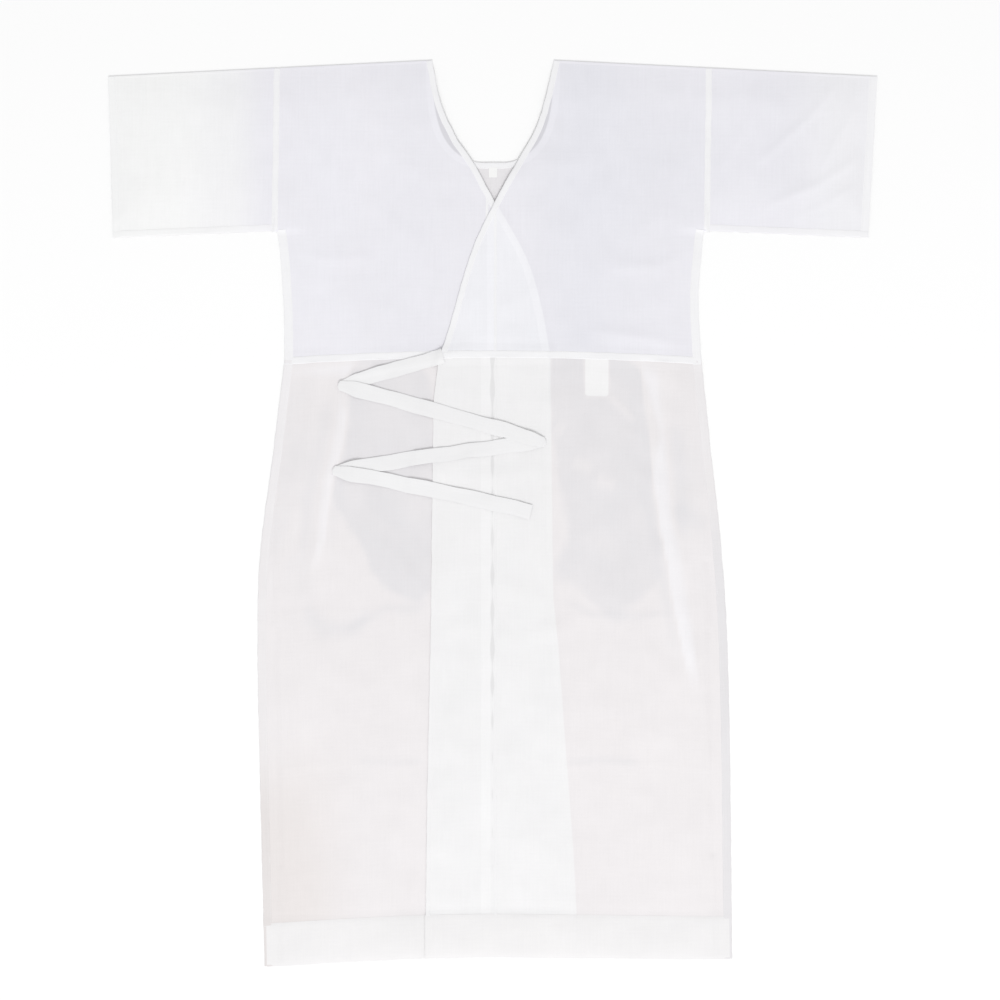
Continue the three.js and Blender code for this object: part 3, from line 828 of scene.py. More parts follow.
def shell(name, plan, bottom, top, material, body, nodes=(), tags=None, uv=None):
    """A closed cloth over plan, a grid of pattern points, between two grids of heights."""
    rows, columns = plan.shape[:2]
    first = plan[rows // 2, columns // 2]
    along = plan[rows // 2 + 1 if rows > 2 else 1, columns // 2] - first
    side = plan[rows // 2, columns // 2 + 1 if columns > 2 else 1] - first
    if side[0] * along[1] - side[1] * along[0] < 0:
        flip = lambda grid: None if grid is None else grid[:, ::-1]
        plan, bottom, top, uv = flip(plan), flip(bottom), flip(top), flip(uv)
        tags = {key: flip(value) for key, value in (tags or {}).items()}
    x, y = laid(plan[..., 0], plan[..., 1])
    upper = np.stack([x, y, top], axis=-1).reshape(-1, 3)
    lower = np.stack([x, y, bottom], axis=-1).reshape(-1, 3)
    sheet_uv = (plan if uv is None else uv).reshape(-1, 2)
    both = {}
    for key, off in TAG_OFF.items():
        nothing = np.full(top.size, off)
        both[key] = np.concatenate([np.ravel((tags or {}).get(key, nothing)), nothing])
    return put(name, np.concatenate([upper, lower]), shell_faces(rows, columns),
               np.concatenate([sheet_uv, sheet_uv]), material, body, nodes, both)


def ruled(left, right, columns):
    """A grid of points between two edges with as many points each."""
    t = np.asarray(columns)[None, :, None]
    return left[:, None] * (1 - t) + right[:, None] * t


def columns_for(left, right):
    width = np.linalg.norm(right - left, axis=1).max()
    return np.linspace(0, 1, max(3, int(round(width / STEP)) + 1))


def label_mark(x, y):
    """How far inside the care label's outline a point is, its corners rounded."""
    (x0, y0, _), (x1, y1, _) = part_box("care_label")
    radius = 0.003
    dx = np.abs(x - (x0 + x1) / 2) - (x1 - x0) / 2 + radius
    dy = np.abs(y - (y0 + y1) / 2) - (y1 - y0) / 2 + radius
    return radius - np.hypot(np.maximum(dx, 0), np.maximum(dy, 0)) - np.minimum(np.maximum(dx, dy), 0)


def back_mark(x, y):
    """How far behind a front the back reaches past its neckline."""
    away = distance(x, y, BACK_NECK_LINE)
    curve_y = np.interp(np.abs(x), BACK_NECK[::-1, 0], BACK_NECK[::-1, 1])
    return np.where((y > curve_y) & (np.abs(x) < NECK_HALF), -away, away)


def gap_shade_mark(x, y):
    """Painted shade of the narrow gap between the two overlap seams, seen through the cloth, in dashes."""
    dashes = 0.0012 * np.sin(y * 130) + 0.0015 * PUCKER_LONG(x * 0, y)
    fade = 0.003 * smooth(y, -0.14, -0.34)
    above = 0.004 * smooth(y, WAIST - 0.004, WAIST + 0.004)
    return 0.0019 + dashes - np.abs(x + 0.0008) - fade - above


def seam_mark(x, y):
    """How far inside the width of the under front's overlap seam a point is."""
    bodice = 0.0045 - np.abs(x + 0.0033)
    skirt = 0.006 - np.abs(x + 0.0094)
    return np.where(y > WAIST, bodice, skirt)


# Painted shade where the front stands off the back: (line down its middle, half width).
PAINTED_SHADE_PATCHES = [([(-0.133, 0.15), (-0.132, 0.02), (-0.11, -0.045)], 0.054),
           ([(0.136, 0.165), (0.152, -0.01), (0.15, -0.06)], 0.066)]
MOTTLE = Field.noise(17, 0.018, 0.02)


def painted_shading_mark(x, y, over):
    """Painted shade and painted light on the front of the skirt: 1 where it stands off the back, with
    cloudy edges, 0 where it lies on it and below 0 where it is painted paler."""
    value = np.zeros(x.shape)
    for line, half in PAINTED_SHADE_PATCHES:
        cloud = 0.3 * CLOUD(x, y) + 0.28 * MIDDLE(x, y) + 0.22 * MOTTLE(x, y)
        away = distance(x, y, line) / half + cloud
        patch = 1 - smooth(away, 0.92, 1.14)
        value = np.maximum(value, patch * (0.82 - 0.22 * MIDDLE(y * 0.8, x * 0.8) - 0.28 * MOTTLE(y, x)))
    for line, half, much in PAINTED_SHADE_STROKES:
        value = value + ridge(x, y, line, half, much)
    # Painted shade of the crumples near the sides of the upper skirt.
    crumpled = smooth(np.abs(x), 0.222, 0.242) * smooth(y, -0.16, -0.02)
    crumple_shade = 0.22 + 0.4 * MIDDLE(y * 0.9, x * 1.2) + 0.15 * MOTTLE(x, y)
    value = value + fold_highlight_and_shade(x, y) + crumpled * crumple_shade
    covered = smooth(past_under(x, y), -0.002, 0.002) if over else smooth(past_over(x, y), -0.002, 0.002)
    clear = 1 - smooth(label_mark(x, y), -0.003, 0.0) if over else 1.0
    # Where both fronts lie on the back it is painted paler still, with mottled painted shade above the
    # storage crease.
    below = smooth(y, -0.124, -0.132)
    doubled = -0.08 * below + (1 - below) * (0.16 * MIDDLE(x * 1.3, y * 0.8) + 0.1 * MOTTLE(x, y))
    return np.clip(value * (1 - covered) * clear + doubled * covered, -1, 1)


def bodice_painted_shading(x, y):
    """The same painted shade for the bodice and the sleeves: darker towards the wearer's left and near the
    neck, painted paler at the wearer's right.
    """
    darker = np.exp(-(((x - 0.22) / 0.17) ** 2 + ((y - 0.46) / 0.13) ** 2))
    paler = np.exp(-(((x + 0.2) / 0.12) ** 2 + ((y - 0.4) / 0.18) ** 2))
    near_neck = np.exp(-(((np.abs(x) - 0.115) / 0.055) ** 2)) * (0.36 + 0.8 * x)
    uneven = 0.1 * CLOUD(x, y) + 0.1 * MIDDLE(x, y)
    return 0.34 * darker + near_neck - 0.12 * paler + uneven


def blush_mark(x, y):
    """How pink and dull the lower outer corner of the skirt is at the wearer's right."""
    return smooth(-x, 0.16, 0.27) * smooth(y, -0.26, -0.42) * (0.85 + 0.3 * CLOUD(x, y))


def front_tags(x, y, over):
    off = np.full(x.shape, -1.0)
    return {
        "over_back": back_mark(x, y),
        "blush": blush_mark(x, y),
        "hollow": np.where(y > WAIST, bodice_painted_shading(x, y), painted_shading_mark(x, y, over)),
        "over_under": past_under(x, y) if over else off,
        "over_label": label_mark(x, y) if over else off,
        "over_gap": gap_shade_mark(x, y) if over else off,
        "over_seam": seam_mark(x, y) if over else off,
    }


def panel(name, left, right, layer, material, body, nodes, tags=None, columns=None):
    """One cut of cloth between two edges, lying on whatever is under it."""
    plan = ruled(left, right, columns_for(left, right) if columns is None else columns)
    x, y = plan[..., 0], plan[..., 1]
    bottom = layer(x, y)
    obj = shell(name, plan, bottom, bottom + CLOTH, material, body, nodes, tags(x, y) if tags else None)
    return obj


def heights(y0, y1, step=STEP):
    return np.linspace(y0, y1, max(3, int(round(abs(y1 - y0) / step)) + 1))


def down(line, ys):
    return np.stack([across(line, ys), ys], axis=1)


def upright(x, ys):
    return np.stack([np.full(len(ys), x), ys], axis=1)


def on(layer, part):
    """The height of the top of a seam that stands a part of its full thickness above the cloth."""
    return lambda x, y: layer(x, y) + CLOTH + TRIM * part


# ---------------------------------------------------------------- sewn strips and stitches

PROFILE = np.array([-1, -0.95, -0.8, -0.45, 0, 0.45, 0.8, 0.95, 1])
CROWN = np.sqrt(1 - np.abs(PROFILE) ** 5)


def strip(name, path, width, layer, rise, material, body, nodes=(), bottom=None, tags=None, wobble=WOBBLE,
          seed=1):
    """A band sewn along a path: crowned, a little uneven in width and drawn up by its stitches."""
    path = even(path, count_for(path, 0.004))
    rng = np.random.default_rng(seed)
    knots = rng.uniform(-1, 1, (len(path) // 2 + 4, 2))
    where = np.linspace(0, len(knots) - 1, len(path))
    uneven = np.stack([np.interp(where, np.arange(len(knots)), knots[:, k]) for k in range(2)], axis=1)
    half = width / 2 + wobble * uneven[:, :1] * np.sign(PROFILE)[None]
    plan = path[:, None] + normals(path)[:, None] * (PROFILE[None, :, None] * half[:, :, None])
    x, y = plan[..., 0], plan[..., 1]
    base = layer(x, y)
    drawn = 1 + 0.35 * uneven[:, 1:] * np.abs(PROFILE)[None]
    top = base + CLOTH + rise * CROWN[None] * drawn
    under = base - 0.00005 if bottom is None else bottom(x, y)
    run = np.broadcast_to(along_line(path)[:, None], half.shape)
    uv = np.stack([half * PROFILE[None] + seed, run], axis=-1)
    shell(name, plan, under, top, material, body, nodes, tags(x, y) if tags else None, uv)


STITCHES = {}


def sew(group, path, height):
    """Adds a row of stitches along a path to a group that shares a body."""
    path = even(path, max(3, int(length_of(path) / (STITCH / 2)) | 1))
    STITCHES.setdefault(group, []).append((path[:-1:2], path[1::2], path[2::2], height))


def make_stitches():
    """Every stitch is a small thread, pointed where it goes into the cloth."""
    shape = np.array([(0, 0, 1), (0, 0.5, 0.2), (0, -0.5, 0.2), (1, 0, 0), (-1, 0, 0)])
    faces = np.array([(0, 1, 4), (0, 3, 1), (0, 4, 2), (0, 2, 3), (1, 3, 2), (1, 2, 4)])
    for group, rows in STITCHES.items():
        points, uvs, all_faces = [], [], []
        count = 0
        for start, middle, end, height in rows:
            reach = (end - start) * 0.42
            reach3 = np.concatenate([reach, np.zeros((len(reach), 1))], axis=1)
            side = np.stack([-reach[:, 1], reach[:, 0], 0 * reach[:, 0]], axis=1)
            side /= np.linalg.norm(side, axis=1)[:, None]
            z = height(middle[:, 0], middle[:, 1]) - 0.00005
            x, y = laid(middle[:, 0], middle[:, 1])
            centre = np.stack([x, y, z], axis=1)
            body = (centre[:, None] + reach3[:, None] * shape[None, :, :1]
                    + side[:, None] * shape[None, :, 1:2] * STITCH_WIDTH
                    + np.array([0, 0, 1]) * shape[None, :, 2:] * STITCH_RISE)
            points.append(body.reshape(-1, 3))
            uvs.append(np.repeat(middle, len(shape), axis=0))
            starts = count + len(shape) * np.arange(len(middle))
            all_faces.append((starts[:, None, None] + faces[None]).reshape(-1, 3))
            count += len(shape) * len(middle)
        put(f"stitches_{group}", np.concatenate(points), np.concatenate(all_faces),
            np.concatenate(uvs), "sewing_thread", group)


# ---------------------------------------------------------------- the back

def back_rows():
    """Edges of the back bodice below the neck and of one of its two sides beside the neck."""
    below_neck = BACK_NECK_Y - SHORT
    ys = heights(WAIST, below_neck)
    edge_x = np.where(ys < UNDERARM, across(SIDE, ys) - TUCK, ARMHOLE)
    lobe_line = np.concatenate([[(0, below_neck)], BACK_NECK[::-1]])
    lobe = even(lobe_line, count_for(lobe_line))
    arm = upright(ARMHOLE, np.linspace(ys[-1], SHOULDER_END - 0.001, len(lobe)))
    return np.stack([edge_x, ys], axis=1), lobe, arm


def make_back():
    right, lobe, arm = back_rows()
    panel("back_bodice_middle", mirror(right), right, back_low, "back_gauze", "gown_body",
          ["back_bodice"])
    for side, name in ((1, "left"), (-1, "right")):
        inner, outer = (lobe, arm) if side > 0 else (mirror(lobe), mirror(arm))
        panel(f"back_shoulder_{name}", inner, outer, back_low, "back_gauze", "gown_body", [])
    ys = heights(SKIRT_END, WAIST)
    side_edge = down(SIDE, ys) - [TUCK, 0]
    panel("back_skirt_cloth", mirror(side_edge), side_edge, back_low, "back_skirt_cloth", "gown_body",
          ["back_skirt"])
    inset = offset(BACK_NECK_LINE, BINDING / 2)
    if inset[len(inset) // 2, 1] > BACK_NECK_Y:
        inset = offset(BACK_NECK_LINE, -BINDING / 2)
    strip("back_neck_tape", inset, BINDING, back_low, TRIM, "sewn_tape", "gown_body",
          ["back_neck_binding"], seed=21)
    for shift in (-SEWING["binding"], SEWING["binding"]):
        sew("gown_body", offset(inset, shift), on(back_low, 0.9))
    waist = np.array([(-SEAM_END, WAIST), (SEAM_END, WAIST)])
    strip("back_waist_tape", waist, WAIST_SEAM, back_low, TRIM * 0.6, "sewn_tape", "gown_body",
          ["back_waist_seam"], seed=22)
    hem_band("back", -HEM_END, HEM_END, back_low, "gown_body", ["back_hem"])


def hem_band(name, x0, x1, layer, body, nodes, tags=None):
    """The skirt's hem: the cloth turned up and sewn along its top edge."""
    ys = heights(HEM, HEM_TOP, 0.0038)
    left, right = upright(x0, ys), upright(x1, ys)
    plan = ruled(left, right, columns_for(left, right))
    x, y = plan[..., 0], plan[..., 1]
    bottom = layer(x, y)
    u = (y - HEM) / (HEM_TOP - HEM)
    rounded = np.clip(np.minimum(u, 1 - u) * 14, 0, 1)
    thick = CLOTH + 0.0001 + TRIM * np.sqrt(np.clip(1 - (1 - rounded) ** 2, 0, 1))
    shell(f"{name}_hem_band", plan, bottom, bottom + thick, "hem_cloth", body, nodes,
          tags(x, y) if tags else None)
    line = np.stack([np.linspace(x0 + 0.003, x1 - 0.003, 60), np.full(60, HEM_TOP - 0.0035)], axis=1)
    sew(body, line, lambda a, b: on(layer, 1)(a, b) + 0.0001)


# ---------------------------------------------------------------- the fronts

# Closer together beside the overlap seam, where what lies under the cloth shows as narrow lines.
OVERLAP_COLUMNS = np.concatenate([np.linspace(0, 0.78, 18), np.linspace(0.78, 1, 20)[1:]])


def front_nodes(name, piece):
    """The nodes that a piece of a front stands for: some of the over front's are cut at its fold line."""
    if name == "over" and piece in ("front_bodice", "front_skirt", "waist_seam", "hem"):
        return [f"over_{piece}_flap", f"over_{piece}_side"]
    return [f"{name}_{piece}"]


def front(name, sign, neck, edge, seam_x, layer, body, loose):
    """One front: its bodice and skirt, its overlap panels, and every band sewn to them. body is what
    its main cloths ride on, and loose what the pieces beside its free edge do."""
    over = name == "over"
    nodes = lambda piece: front_nodes(name, piece)
    tags = lambda x, y: front_tags(x, y, over)
    meet = float(np.interp(seam_x, neck[::sign * -1, 0], neck[::sign * -1, 1]))
    # Bodice: from the overlap seam and the neck to the side and the armhole.
    ys = heights(WAIST, TOP - 0.001)
    inner_x = np.where(ys < meet, seam_x, across(neck, ys) + sign * TUCK)
    outer_y = WAIST + (ys - WAIST) * (SHOULDER_END - 0.001 - WAIST) / (TOP - WAIST)
    outer_x = np.where(outer_y < UNDERARM, across(SIDE, outer_y) - TUCK, ARMHOLE)
    outer = np.stack([sign * outer_x, outer_y], axis=1)
    panel(f"{name}_bodice_cloth", np.stack([inner_x, ys], axis=1), outer, layer, "front_gauze", body,
          nodes("front_bodice"), tags)
    # Overlap panel of the bodice, a long triangle between the neck and the seam.
    ys = heights(WAIST, meet - SHORT)
    free = np.stack([across(neck, ys) + sign * TUCK, ys], axis=1)
    panel(f"{name}_overlap_bodice_cloth", free, upright(seam_x, ys), layer, "front_gauze", loose,
          nodes("overlap_bodice"), tags, columns=OVERLAP_COLUMNS)
    # Skirt and its overlap panel.
    ys = heights(SKIRT_END, WAIST)
    seam = upright(seam_x, ys)
    side_edge = down(SIDE, ys) - [TUCK, 0]
    side_edge[:, 0] *= sign
    free = down(edge, ys) + [sign * 0.002, 0]
    panel(f"{name}_skirt_cloth", seam, side_edge, layer, "front_skirt_cloth", body,
          nodes("front_skirt"), tags)
    panel(f"{name}_overlap_skirt_cloth", free, seam, layer, "front_skirt_cloth", loose,
          nodes("overlap_skirt"), tags, columns=OVERLAP_COLUMNS)
    # Bands.
    seed = 40 if over else 60
    inset = offset(neck, sign * BINDING / 2)
    if (inset[5, 0] - neck[5, 0]) * sign < 0:
        inset = offset(neck, -sign * BINDING / 2)
    bound = np.concatenate([inset, [[inset[-1, 0], WAIST - WAIST_SEAM / 2]]])
    strip(f"{name}_neck_tape", bound, BINDING, layer, TRIM, "sewn_tape", body, nodes("neck_binding"),
          seed=seed)
    for shift in (SEWING["binding"], -SEWING["binding"]):
        sew(body, offset(bound, shift), on(layer, 0.85))
    ys = heights(WAIST - WAIST_SEAM / 2, HEM_TOP - SHORT, 0.02)
    edge_line = down(edge, ys) + [sign * EDGE_HEM / 2, 0]
    strip(f"{name}_edge_tape", edge_line, EDGE_HEM, layer, TRIM * 0.5, "front_skirt_cloth", loose,
          nodes("edge_hem"), seed=seed + 1, tags=tags)
    sew(loose, edge_line + [sign * SEWING["edge"], 0], on(layer, 0.5))
    bodice_seam = np.array([(seam_x, WAIST), (seam_x, meet - SHORT)])
    skirt_seam = np.array([(seam_x, HEM_TOP - SHORT), (seam_x, WAIST)])
    strip(f"{name}_overlap_tape_bodice", bodice_seam, OVERLAP_SEAM, layer, TRIM * 0.55, "sewn_tape", loose,
          nodes("overlap_seam_bodice"), seed=seed + 2)
    strip(f"{name}_overlap_tape_skirt", skirt_seam, OVERLAP_SEAM, layer, TRIM * 0.45, "front_skirt_cloth",
          loose, nodes("overlap_seam_skirt"), seed=seed + 4, tags=tags)
    for line in (bodice_seam, skirt_seam):
        sew(loose, line + [SEWING["overlap"], 0], on(layer, 0.42))
    waist = np.array([(edge[0, 0] + sign * 0.001, WAIST), (sign * SEAM_END, WAIST)])
    strip(f"{name}_waist_tape", waist, WAIST_SEAM, layer, TRIM, "sewn_tape", body, nodes("waist_seam"),
          seed=seed + 3)
    for shift in (-SEWING["waist"], SEWING["waist"]):
        sew(body, waist + [0, shift], on(layer, 0.85))
    hem_tags = lambda x, y: {"over_under": past_under(x, y) if over else np.full(x.shape, -1.0)}
    hem_band(name, edge[-1, 0], sign * HEM_END, layer, body, nodes("hem"), hem_tags)


def make_fronts():
    front("under", -1, UNDER_NECK, UNDER_EDGE, UNDER_SEAM_X, under_low, "gown_body", "gown_body")
    front("over", 1, OVER_NECK, OVER_EDGE, OVER_SEAM_X, over_low, "over_front", "front_flap")


# ---------------------------------------------------------------- seams where front meets back

def side_seam_shading_tags(x, y):
    """Painted shade on the side seams, darker further down and most at the wearer's left, painted paler at
    their tops; and as pink as the cloth beside them.
    """
    below = smooth(y, 0.13, -0.1)
    lowest = smooth(y, -0.3, -0.42)
    right, left = -0.6 + 0.5 * below + 0.5 * lowest, -0.3 + 1.1 * below
    return {"hollow": np.where(x < 0, right, left), "blush": 1.3 * blush_mark(x, y)}


def make_side_edges():
    for sign, name in ((1, "left"), (-1, "right")):
        # Side seam, in two bands that meet at the waist.
        ys = heights(UNDERARM + 0.001, HEM + 0.001, 0.006)
        side_line = (down(SIDE, ys) - [SIDE_SEAM / 2, 0]) * [sign, 1]
        upper, lower = side_line[ys > WAIST - 0.006], side_line[ys < WAIST + 0.001]
        strip(f"side_tape_bodice_{name}", upper, SIDE_SEAM, outer_low, TRIM, "sewn_tape", "gown_body",
              [f"side_seam_bodice_{name}"], bottom=back_low, seed=81 + sign)
        strip(f"side_tape_skirt_{name}", lower, SIDE_SEAM, outer_low, TRIM, "skirt_seam", "gown_body",
              [f"side_seam_skirt_{name}"], bottom=back_low, seed=85 + sign, tags=side_seam_shading_tags)
        sew("gown_body", side_line - [sign * SEWING["side"], 0], on(outer_low, 0.7))
        # Armhole seam.
        arm = np.array([(sign * ARMHOLE, UNDERARM - 0.002), (sign * ARMHOLE, SHOULDER_END - 0.0005)])
        strip(f"armhole_tape_{name}", arm, ARM_OUT - ARM_IN, outer_low, TRIM, "sewn_tape", "gown_body",
              [f"armhole_seam_{name}"], bottom=back_low, seed=91 + sign)
        for shift in (-SEWING["sleeve"], SEWING["sleeve"]):
            sew("gown_body", arm + [shift, 0], on(outer_low, 0.8))
        # The cloth turning over along the shoulder.
        arm_y = shoulder_line(ARM_IN) - TURN / 2
        turn = np.array([(sign * NECK_HALF, TOP - TURN / 2), (sign * ARM_IN, arm_y)])
        strip(f"shoulder_turn_{name}", turn, TURN, outer_low, 0.0001, "front_gauze", "gown_body",
              [f"shoulder_fold_{name}"], bottom=back_low, wobble=0.0, seed=101 + sign)


# ---------------------------------------------------------------- sleeves

def painted_light_tags(x, y):
    """Painted light: the outer end of the wearer's right sleeve is painted paler than the rest, that of the
    left one a little.
    """
    right = 0.7 * smooth(-x, 0.285, 0.345) + 0.3 * smooth(-x, 0.345, 0.42)
    return {"pale_end": right + 0.38 * smooth(x, 0.36, 0.46)}


def sleeve_tags(x, y):
    return {**front_tags(x, y, False), "over_back": np.full(x.shape, 1.0), **painted_light_tags(x, y)}


def make_sleeves():
    columns = np.concatenate([np.linspace(0, 0.09, 11), np.linspace(0.09, 1, 47)[1:]])
    rows = heights(0, 1, STEP / (SHOULDER_END - UNDERARM))
    inner_edge = upright(ARMHOLE, UNDERARM + rows * (SHOULDER_END - UNDERARM))
    tip_low = np.array([SLEEVE_LOW_X, SLEEVE_LOW])
    tip_high = np.array([SPAN, shoulder_line(SPAN)])
    outer = tip_low + rows[:, None] * (tip_high - tip_low)
    cuff_in = outer - [CUFF_HEM * 0.5, 0]
    start = ARM_OUT - 0.001
    half_seam = UNDERARM_SEAM / 2
    for sign, name in ((1, "left"), (-1, "right")):
        flip = np.array([sign, 1])
        bend = f"sleeve_{name}_bend"
        rigid = f"sleeve_{name}"
        front_layer = over_low if name == "left" else under_low
        for side, layer, gauze, tags in (("back", back_low, "back_gauze", None),
                                         ("front", front_layer, "front_gauze", sleeve_tags)):
            panel(f"sleeve_{name}_{side}_cloth", inner_edge * flip, cuff_in * flip, layer, gauze, bend,
                  [f"sleeve_{name}_{side}"], tags, columns=columns)
        # Cuff hems, one on each layer.
        cuff = (outer - [CUFF_HEM / 2, 0]) * flip
        for side, layer in (("back", back_low), ("front", front_layer)):
            strip(f"sleeve_{name}_cuff_{side}", cuff, CUFF_HEM, layer, TRIM * 0.6, "cuff_gauze", rigid,
                  [f"sleeve_{name}_cuff_hem_{side}"], seed=111 + sign, tags=painted_light_tags)
        sew(rigid, cuff - [sign * (CUFF_HEM / 2 - 0.0016), 0], on(front_layer, 0.6))
        # Underarm seam and the turn of the cloth along the top.
        underarm = np.array([(start, UNDERARM + half_seam), (tip_low[0], tip_low[1] + half_seam)]) * flip
        strip(f"sleeve_{name}_underarm_tape", underarm, UNDERARM_SEAM, front_layer, TRIM * 0.8,
              "cuff_gauze", bend, [f"sleeve_{name}_underarm_seam"], bottom=back_low, seed=121 + sign,
              tags=painted_light_tags)
        sew(bend, underarm + [0, SEWING["sleeve"]], on(front_layer, 0.7))
        top_line = np.array([(start, shoulder_line(start)), tip_high]) - [0, TURN / 2]
        strip(f"sleeve_{name}_top_turn", top_line * flip, TURN, front_layer, 0.0001, "front_gauze", bend,
              [f"sleeve_{name}_top_fold"], bottom=back_low, wobble=0.0, seed=131 + sign, tags=painted_light_tags)


# ---------------------------------------------------------------- tie

TIE_CORNERS = np.array([
    TIE_ROOT + [-0.003, -0.001], (-0.1975, 0.1685), (0.0652, 0.0902), (-0.204, 0.0571), (0.0494, -0.0022),
])


def unit(v):
    return v / np.linalg.norm(v)


def turned(v):
    """A quarter turn to the left."""
    return np.array([-v[1], v[0]])


PINCH = 0.36  # how much narrower the tape is at a fold
RAISED = 0.0008  # how far every other run of the tape is held above the one that it crosses
EDGE_LIFT = 0.0007  # how far an edge of the tape stands up at the most
SLOPE = 0.003  # width over which the tape rises beside a seam or hem that it crosses
CLIMB = (0.035, 0.085)  # how far from a fold the tape starts and ends its way up or down
PINCHED = 0.022  # length over which the tape narrows towards a fold


def tie_creases():
    """The line across the tape at its start, at each fold and at its end: (one edge, other edge)."""
    corners = TIE_CORNERS
    last = len(corners) - 1
    rows = []
    for k, corner in enumerate(corners):
        before = corners[max(k - 1, 0)]
        # The tape changes sides at every fold.
        hand = -1 if k and k % 2 == 0 else 1
        normal = turned(unit(corner - before if k else corners[1] - corner)) * hand
        step = normal * TIE_WIDTH / 2
        if 0 < k < last:
            crease = turned(unit(unit(before - corner) + unit(corners[k + 1] - corner)))
            step = crease * (TIE_WIDTH / 2) / (crease @ normal)
        rows.append((corner + step, corner - step))
    return rows


def surface(x, y):
    """Top of whatever lies under the tie, with its seams and hems."""
    past = past_over(x, y)
    at_waist = 1 - smooth(np.abs(y - WAIST), WAIST_SEAM / 2, WAIST_SEAM / 2 + SLOPE)
    at_edge = smooth(past, -SLOPE, 0.0) * (1 - smooth(past, EDGE_HEM, EDGE_HEM + SLOPE))
    under = under_low(x, y) + CLOTH + TRIM * at_waist
    over = over_low(x, y) + CLOTH + TRIM * np.maximum(at_waist, 0.3 + 0.2 * at_edge)
    return under + (over - under) * smooth(past, -0.006, 0.0)


def swept_surface(x, y):
    """The highest place that a point of the tie passes over as the tie swings about its root."""
    highest = surface(x, y)
    dx, dy = x - TIE_ROOT[0], y - TIE_ROOT[1]
    for angle in np.radians(np.linspace(*joint("tie_swing")["range_deg"], 17)):
        turned_x = TIE_ROOT[0] + dx * math.cos(angle) - dy * math.sin(angle)
        turned_y = TIE_ROOT[1] + dx * math.sin(angle) + dy * math.cos(angle)
        highest = np.maximum(highest, surface(turned_x, turned_y))
    return highest


def tie_run(rows, k):
    """Points of one straight run of the tape, and how high each is held above what it lies on."""
    (a0, b0), (a1, b1) = rows[k], rows[k + 1]
    length = np.linalg.norm((a1 + b1 - a0 - b0) / 2)
    t = np.linspace(0, 1, int(length / 0.004) + 2)
    u = np.linspace(-1, 1, 9)
    side_a = a0 + (a1 - a0) * t[:, None]
    side_b = b0 + (b1 - b0) * t[:, None]
    # The tape is pinched narrower where it is folded.
    from_start = 1.0 if k == 0 else smooth(t * length, -0.004, PINCHED)
    from_end = 1.0 if k == len(rows) - 2 else smooth((1 - t) * length, -0.004, PINCHED)
    pinch = 0.5 * PINCH * (1 - np.minimum(from_start, from_end))[:, None]
    side_a, side_b = side_a + (side_b - side_a) * pinch, side_b + (side_a - side_b) * pinch
    plan = side_a[:, None] * ((1 - u) / 2)[None, :, None] + side_b[:, None] * ((1 + u) / 2)[None, :, None]
    # The runs rise by turns, so that each fold joins a low run to a high one.
    run = t * length
    held = np.zeros(len(t))
    if k % 2:
        up_again = 0 if k == len(rows) - 2 else smooth(run, length - CLIMB[1], length - CLIMB[0])
        held = 1 - smooth(run, *CLIMB) * (1 - up_again)
    return plan, t, u, held, length


def waves(t, values):
    return np.interp(t, np.linspace(0, 1, len(values)), values)


def tie_points():
    rows = tie_creases()
    wave = np.random.default_rng(7)
    grids = []
    for k in range(len(rows) - 1):
        plan, t, u, held, length = tie_run(rows, k)
        x, y = plan[..., 0], plan[..., 1]
        # One edge stands up a little: always the one towards the shoulders.
        upper = 1 if plan[len(t) // 2, -1, 1] > plan[len(t) // 2, 0, 1] else -1
        sway = waves(t, np.maximum(wave.uniform(-0.5, 1.2, 9), 0))
        drift = waves(t, wave.uniform(-1, 1, 12)) * 0.0009
        pinch = waves(t, wave.uniform(-1, 1, 14)) * 0.0006
        ends = smooth(t * length, 0.0, 0.02) * smooth((1 - t) * length, 0.0, 0.02)
        plan = plan + (drift * ends)[:, None, None] * [0.2, 1.0]
        plan = plan + (pinch * ends)[:, None, None] * u[None, :, None] * [0.0, 1.0]
        lift = (EDGE_LIFT * sway * ends)[:, None] * ((1 + u * upper) / 2)[None] ** 1.5
        wobble = 0.0002 * waves(t, wave.uniform(-1, 1, 15))[:, None]
        z = swept_surface(x, y) + TIE_THICKNESS * 0.75 + RAISED * held[:, None] + lift + np.abs(wobble)
        grids.append(np.concatenate([plan, z[..., None]], axis=2))
    whole = [grids[0]]
    u = np.linspace(-1, 1, grids[0].shape[1])
    for before, after in zip(grids[:-1], grids[1:]):
        # Round the fold: out past the crease and back, rising or falling as it goes.
        a, b = before[-1], after[0]
        outward = unit((a - before[-3])[4, :2])
        inward = unit((after[2] - b)[4, :2])
        out = unit(outward - inward)
        turn = []
        for angle in np.linspace(0, math.pi, 7)[1:-1]:
            share = (1 - math.cos(angle)) / 2
            row = a * (1 - share) + b * share
            row[:, :2] += out * (0.0008 + 0.003 * (1 - u**2))[:, None] * math.sin(angle)
            turn.append(row)
        whole += [np.array(turn), after]
    return np.concatenate(whole)


